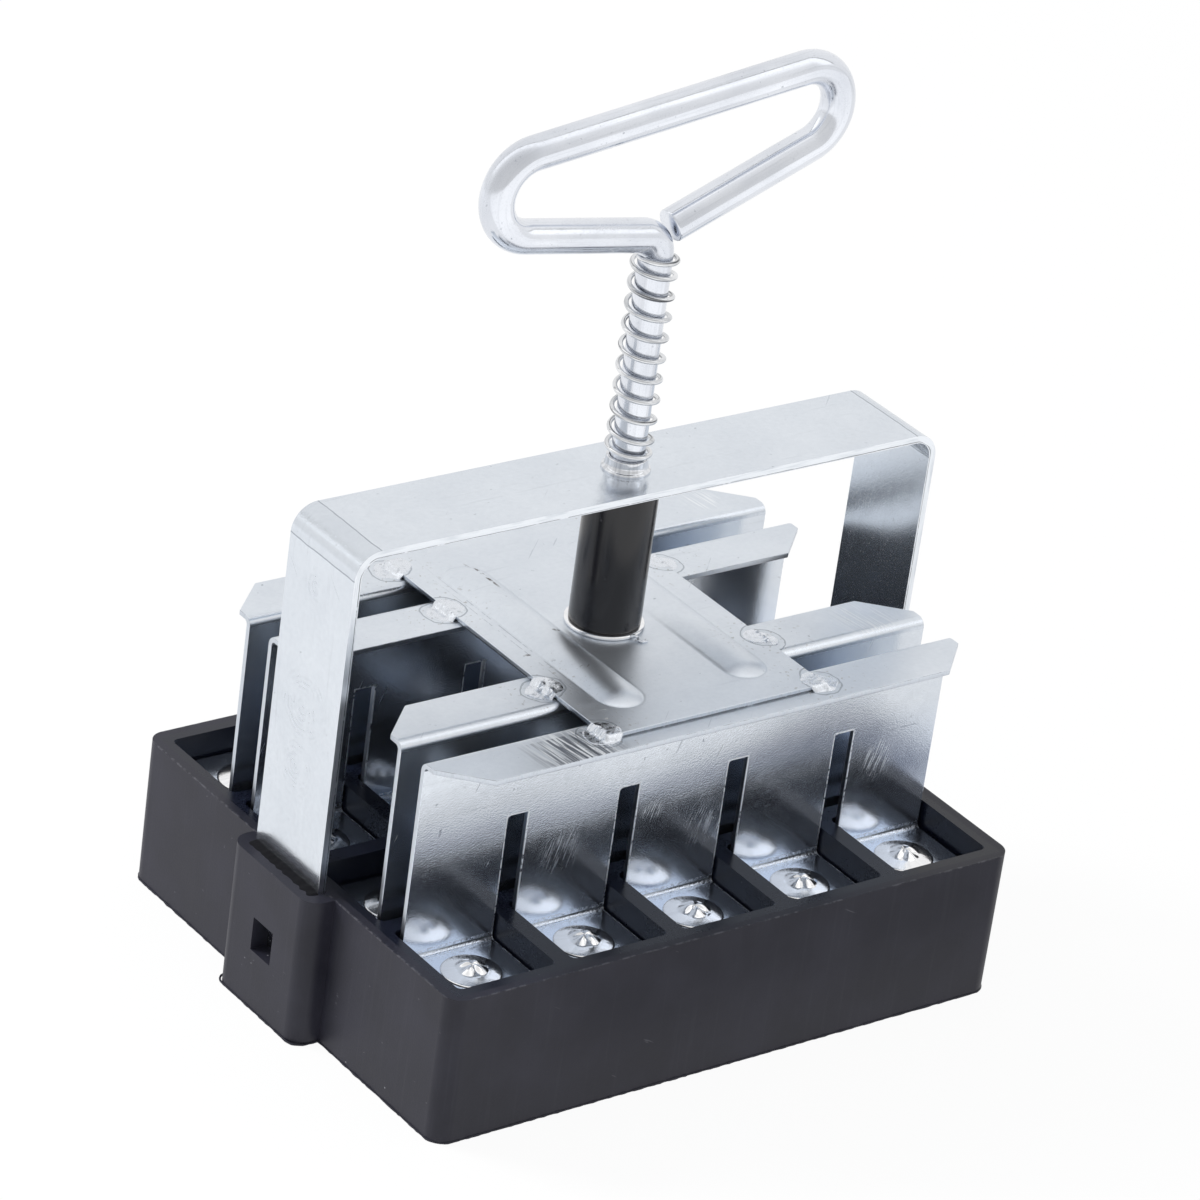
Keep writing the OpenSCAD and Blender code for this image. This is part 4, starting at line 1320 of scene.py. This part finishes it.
weldSettings = {
    "edgeX": 23.9, "edgeY": 34.5, "ys": (15.5, 32.7), "flange": 64.0, "plate": 65.0, "fillet": 0.9,
    "across": 3.9, "along": 3.2, "sink": 0.45,
    "outline": 0.20, "outlineBends": 1.4, "indexStep": 5,  # how uneven the pool's edge is
    "pool": 0.11, "poolPower": 6, "edgeDrop": 0.12, "dropPower": 8,  # it is flat and falls off at its edge
    "rim": 0.03, "rimShare": 0.88, "rimWidth": 0.05,
    "waves": 0.05, "waveBends": 1.3,
    "drops": 8, "dropX": (-0.5, 0.9), "dropY": (-2.4, 2.4), "dropSize": (0.32, 0.72),
    "dropRise": (0.16, 0.42), "dropSteep": 2.6,
    "rings": 20, "sides": 64, "seed": 5, "sharpAngle": 60,
}


def stepDown(s, x, y):  # height of the plate and the flange beside it, with a fillet between
    out = max(abs(x) - s["edgeX"], abs(y) - s["edgeY"])
    share = min(1.0, max(0.0, 1 - out / s["fillet"]))
    return s["flange"] + (s["plate"] - s["flange"]) * share * share * (3 - 2 * share)


def weldRise(s, x, y, share, index, drops):  # its height over the metal; share runs from 0 to 1 at its edge
    rise = s["pool"] * (1 - share ** s["poolPower"]) - s["edgeDrop"] * share ** s["dropPower"]
    rise += s["rim"] * math.exp(-((share - s["rimShare"]) / s["rimWidth"]) ** 2)
    rise += s["waves"] * noise.noise(Vector((x, y, index)) * s["waveBends"]) * (1 - share)
    return rise + max(high * math.exp(-((Vector((x, y)) - place).length / size) ** s["dropSteep"])
                      for place, size, high in drops)


def weldPatch(s, cx, cy, index, points, faces):
    chance = random.Random(s["seed"] + index)
    drops = []
    for k in range(s["drops"]):
        place = (cx + math.copysign(chance.uniform(*s["dropX"]), cx), cy + chance.uniform(*s["dropY"]))
        drops.append((Vector(place), chance.uniform(*s["dropSize"]), chance.uniform(*s["dropRise"])))
    first = len(points)
    bends = s["outlineBends"]
    for ring in range(s["rings"] + 1):
        share = ring / s["rings"]
        for k in range(s["sides"]):
            turn = 2 * math.pi * k / s["sides"]
            out, up = math.cos(turn), math.sin(turn)
            uneven = noise.noise(Vector((out * bends, up * bends, index * s["indexStep"])))
            reach = share * (1 + s["outline"] * uneven)
            x, y = cx + s["across"] * reach * out, cy + s["along"] * reach * up
            points.append((x, y, stepDown(s, x, y) + weldRise(s, x, y, share, index, drops)))
    outer = first + s["rings"] * s["sides"]
    below = len(points)
    points += [(x, y, stepDown(s, x, y) - s["sink"]) for x, y, z in points[outer:outer + s["sides"]]]
    points.append((cx, cy, s["flange"] - s["sink"]))
    for k in range(s["sides"]):
        after = (k + 1) % s["sides"]
        for ring in range(s["rings"]):
            a, b = first + ring * s["sides"], first + (ring + 1) * s["sides"]
            faces.append((a + k, b + k, b + after, a + after))
        faces.append((outer + k, below + k, below + after, outer + after))
        faces.append((below + k, len(points) - 1, below + after))


def makeWelds(s):
    points, faces = [], []
    spots = [(sx * s["edgeX"], sy * y) for sx in (-1, 1) for sy in (-1, 1) for y in s["ys"]]
    for index, (cx, cy) in enumerate(spots):
        weldPatch(s, cx, cy, index, points, faces)
    mesh = meshFrom("weldSpots", [Vector(p) * mm for p in points], faces)
    tidyMesh(mesh)
    mesh.materials.append(weldBeads)
    mesh.set_sharp_from_angle(angle=math.radians(s["sharpAngle"]))
    finishPiece(addPiece("weldSpots", mesh), "press", "weld_metal", "weld_spots")


rodWeldSettings = {
    "rod": 3.1, "size": 2.6, "top": 64.0, "ripples": 22, "ripple": 0.08, "lump": 0.15,
    "gap": 0.02, "lip": 0.1,  # between weld and rod, and how far it goes into the plate
    "segments": 88, "steps": 8,
}


def makeRodWeld(s):
    steps = [math.pi / 2 * k / s["steps"] for k in range(s["steps"] + 1)]
    ring = [(s["rod"] + s["size"] * math.sin(t), s["top"] - s["size"] * math.cos(t)) for t in steps]
    inner = (s["rod"] + s["gap"], s["top"] + s["lip"])
    outer = (s["rod"] + s["size"] - s["lip"], s["top"] + s["lip"])
    mesh = lathe("rodWeld", [inner, *ring, outer, inner], s["segments"])
    for vertex in mesh.vertices:
        place = vertex.co / mm
        out = Vector((place.x, place.y, 0)).normalized()
        ripple = s["ripple"] * math.sin(s["ripples"] * math.atan2(place.y, place.x))
        ripple += s["lump"] * noise.noise(place)
        if place.z < s["top"] - s["lip"]:
            vertex.co = (place + (out - Vector((0, 0, 1))) * ripple) * mm
    mesh.materials.append(weldBeads)
    finishPiece(addPiece("rodWeld", mesh), "press", "weld_metal", "rod_weld")


nibSettings = {  # a curl of weld beside the ring under the sleeve
    "radius": 0.26,
    "path": ((0.4, -7.1, 65.5), (1.3, -7.5, 65.7), (1.7, -8.1, 65.5), (1.4, -8.7, 65.3), (1.9, -9.3, 65.2),
             (2.7, -9.3, 65.15), (3.0, -8.7, 65.1)),
    "steps": 6, "sides": 10, "ragged": 0.9, "ragSize": 1.0,
}


def makeNib(s):
    values = {"Radius": s["radius"] * mm, "Sides": s["sides"], "End Rounding": s["radius"] * mm,
              "Ragged": s["ragged"], "Rag Size": s["ragSize"] * mm, "Finish": weldBeads}
    path = []
    for before, after in zip(s["path"], s["path"][1:]):
        path += [Vector(before).lerp(Vector(after), k / s["steps"]) for k in range(s["steps"])]
    finishPiece(sweepAlong("ringNib", path + [s["path"][-1]], values), "press", "weld_metal")


makeWelds(weldSettings)
makeRodWeld(rodWeldSettings)
makeNib(nibSettings)
print("welds made")


# A ragged line of flash that moulding left round the foot, and a rough lip where each leg goes in

flashSettings = {
    "length": 124.0, "width": 99.9, "corner": 3.5, "boss": 67.2, "bossHalf": 13.0, "bossRoot": 0.4,
    "radius": 0.2, "lift": 0.22, "step": 0.7, "cornerSteps": 8,
    "sides": 8, "ragged": 2.4, "ragSize": 1.6,
    "endRounding": 0.001,  # a closed loop has no ends, and the tree divides by this
}


def makeFlash(s):
    x, y, b = s["length"] / 2, s["width"] / 2, s["bossHalf"]
    right = [(x, -y), (x, -b), (s["boss"], -b), (s["boss"], b), (x, b), (x, y)]
    corners = right + [(-px, -py) for px, py in right]
    radii = [s["corner"], s["bossRoot"], s["corner"], s["corner"], s["bossRoot"], s["corner"]] * 2
    loop = rounded(corners, radii, s["cornerSteps"], closed=True)
    path = []
    for before, after in zip(loop, loop[1:] + loop[:1]):
        before, after = Vector(before), Vector(after)
        count = max(1, round((after - before).length / s["step"]))
        path += [(*before.lerp(after, k / count), s["lift"]) for k in range(count)]
    values = {"Radius": s["radius"] * mm, "Sides": s["sides"], "End Rounding": s["endRounding"] * mm,
              "Ragged": s["ragged"], "Rag Size": s["ragSize"] * mm, "Finish": mouldPlastic}
    finishPiece(sweepAlong("mouldFlash", path, values, closed=True), "mold", "mould_plastic")


lipSettings = {
    "strap": 63.62, "width": 1.9, "half": 10.3, "top": 29.2,
    "rise": 0.25, "risePower": 1.2, "lift": 0.12, "fall": 0.16, "lowest": -0.08, "sink": 0.3, "endFade": 0.5,
    "widthShare": 0.25, "widthBends": 0.9, "rough": 0.22, "roughBends": 0.7, "sideSteps": (9, 5),
    "columns": 7, "rows": 90, "sharpAngle": 50,
}


def lipPoint(s, side, y, share):  # share is 0 at the strap and 1 at the lip's outer edge
    widthStep, roughStep = s["sideSteps"]
    uneven = noise.noise(Vector((y * s["widthBends"], side * widthStep, 0)))
    x = s["strap"] + s["width"] * share * (1 + s["widthShare"] * uneven)
    rough = s["rough"] * noise.noise(Vector((y * s["roughBends"], share, side * roughStep)))
    end = min(1.0, (s["half"] - abs(y)) / s["endFade"])
    rise = s["rise"] * (1 - share) ** s["risePower"] + s["lift"] + rough * (1 - share)
    return (side * x, y, s["top"] + max(rise * end - s["fall"] * share, s["lowest"]))


def makeLips(s):
    points, faces = [], []
    row = s["columns"] + 3
    for side in (-1, 1):
        first = len(points)
        for j in range(s["rows"] + 1):
            y = s["half"] * (2 * j / s["rows"] - 1)
            points += [lipPoint(s, side, y, i / s["columns"]) for i in range(s["columns"] + 1)]
            points.append((side * (s["strap"] + s["width"]), y, s["top"] - s["sink"]))
            points.append((side * s["strap"], y, s["top"] - s["sink"]))
        for j in range(s["rows"]):
            a = first + j * row
            faces += [(a + i, a + (i + 1) % row, a + row + (i + 1) % row, a + row + i) for i in range(row)]
        last = first + s["rows"] * row
        faces += [tuple(range(first, first + row)), tuple(range(last, last + row))]
    mesh = meshFrom("slotLips", [Vector(p) * mm for p in points], faces)
    tidyMesh(mesh)
    mesh.materials.append(roughPlastic)
    mesh.set_sharp_from_angle(angle=math.radians(s["sharpAngle"]))
    finishPiece(addPiece("slotLips", mesh), "mold", "mould_plastic")


makeFlash(flashSettings)
makeLips(lipSettings)
print("flash and lips made")
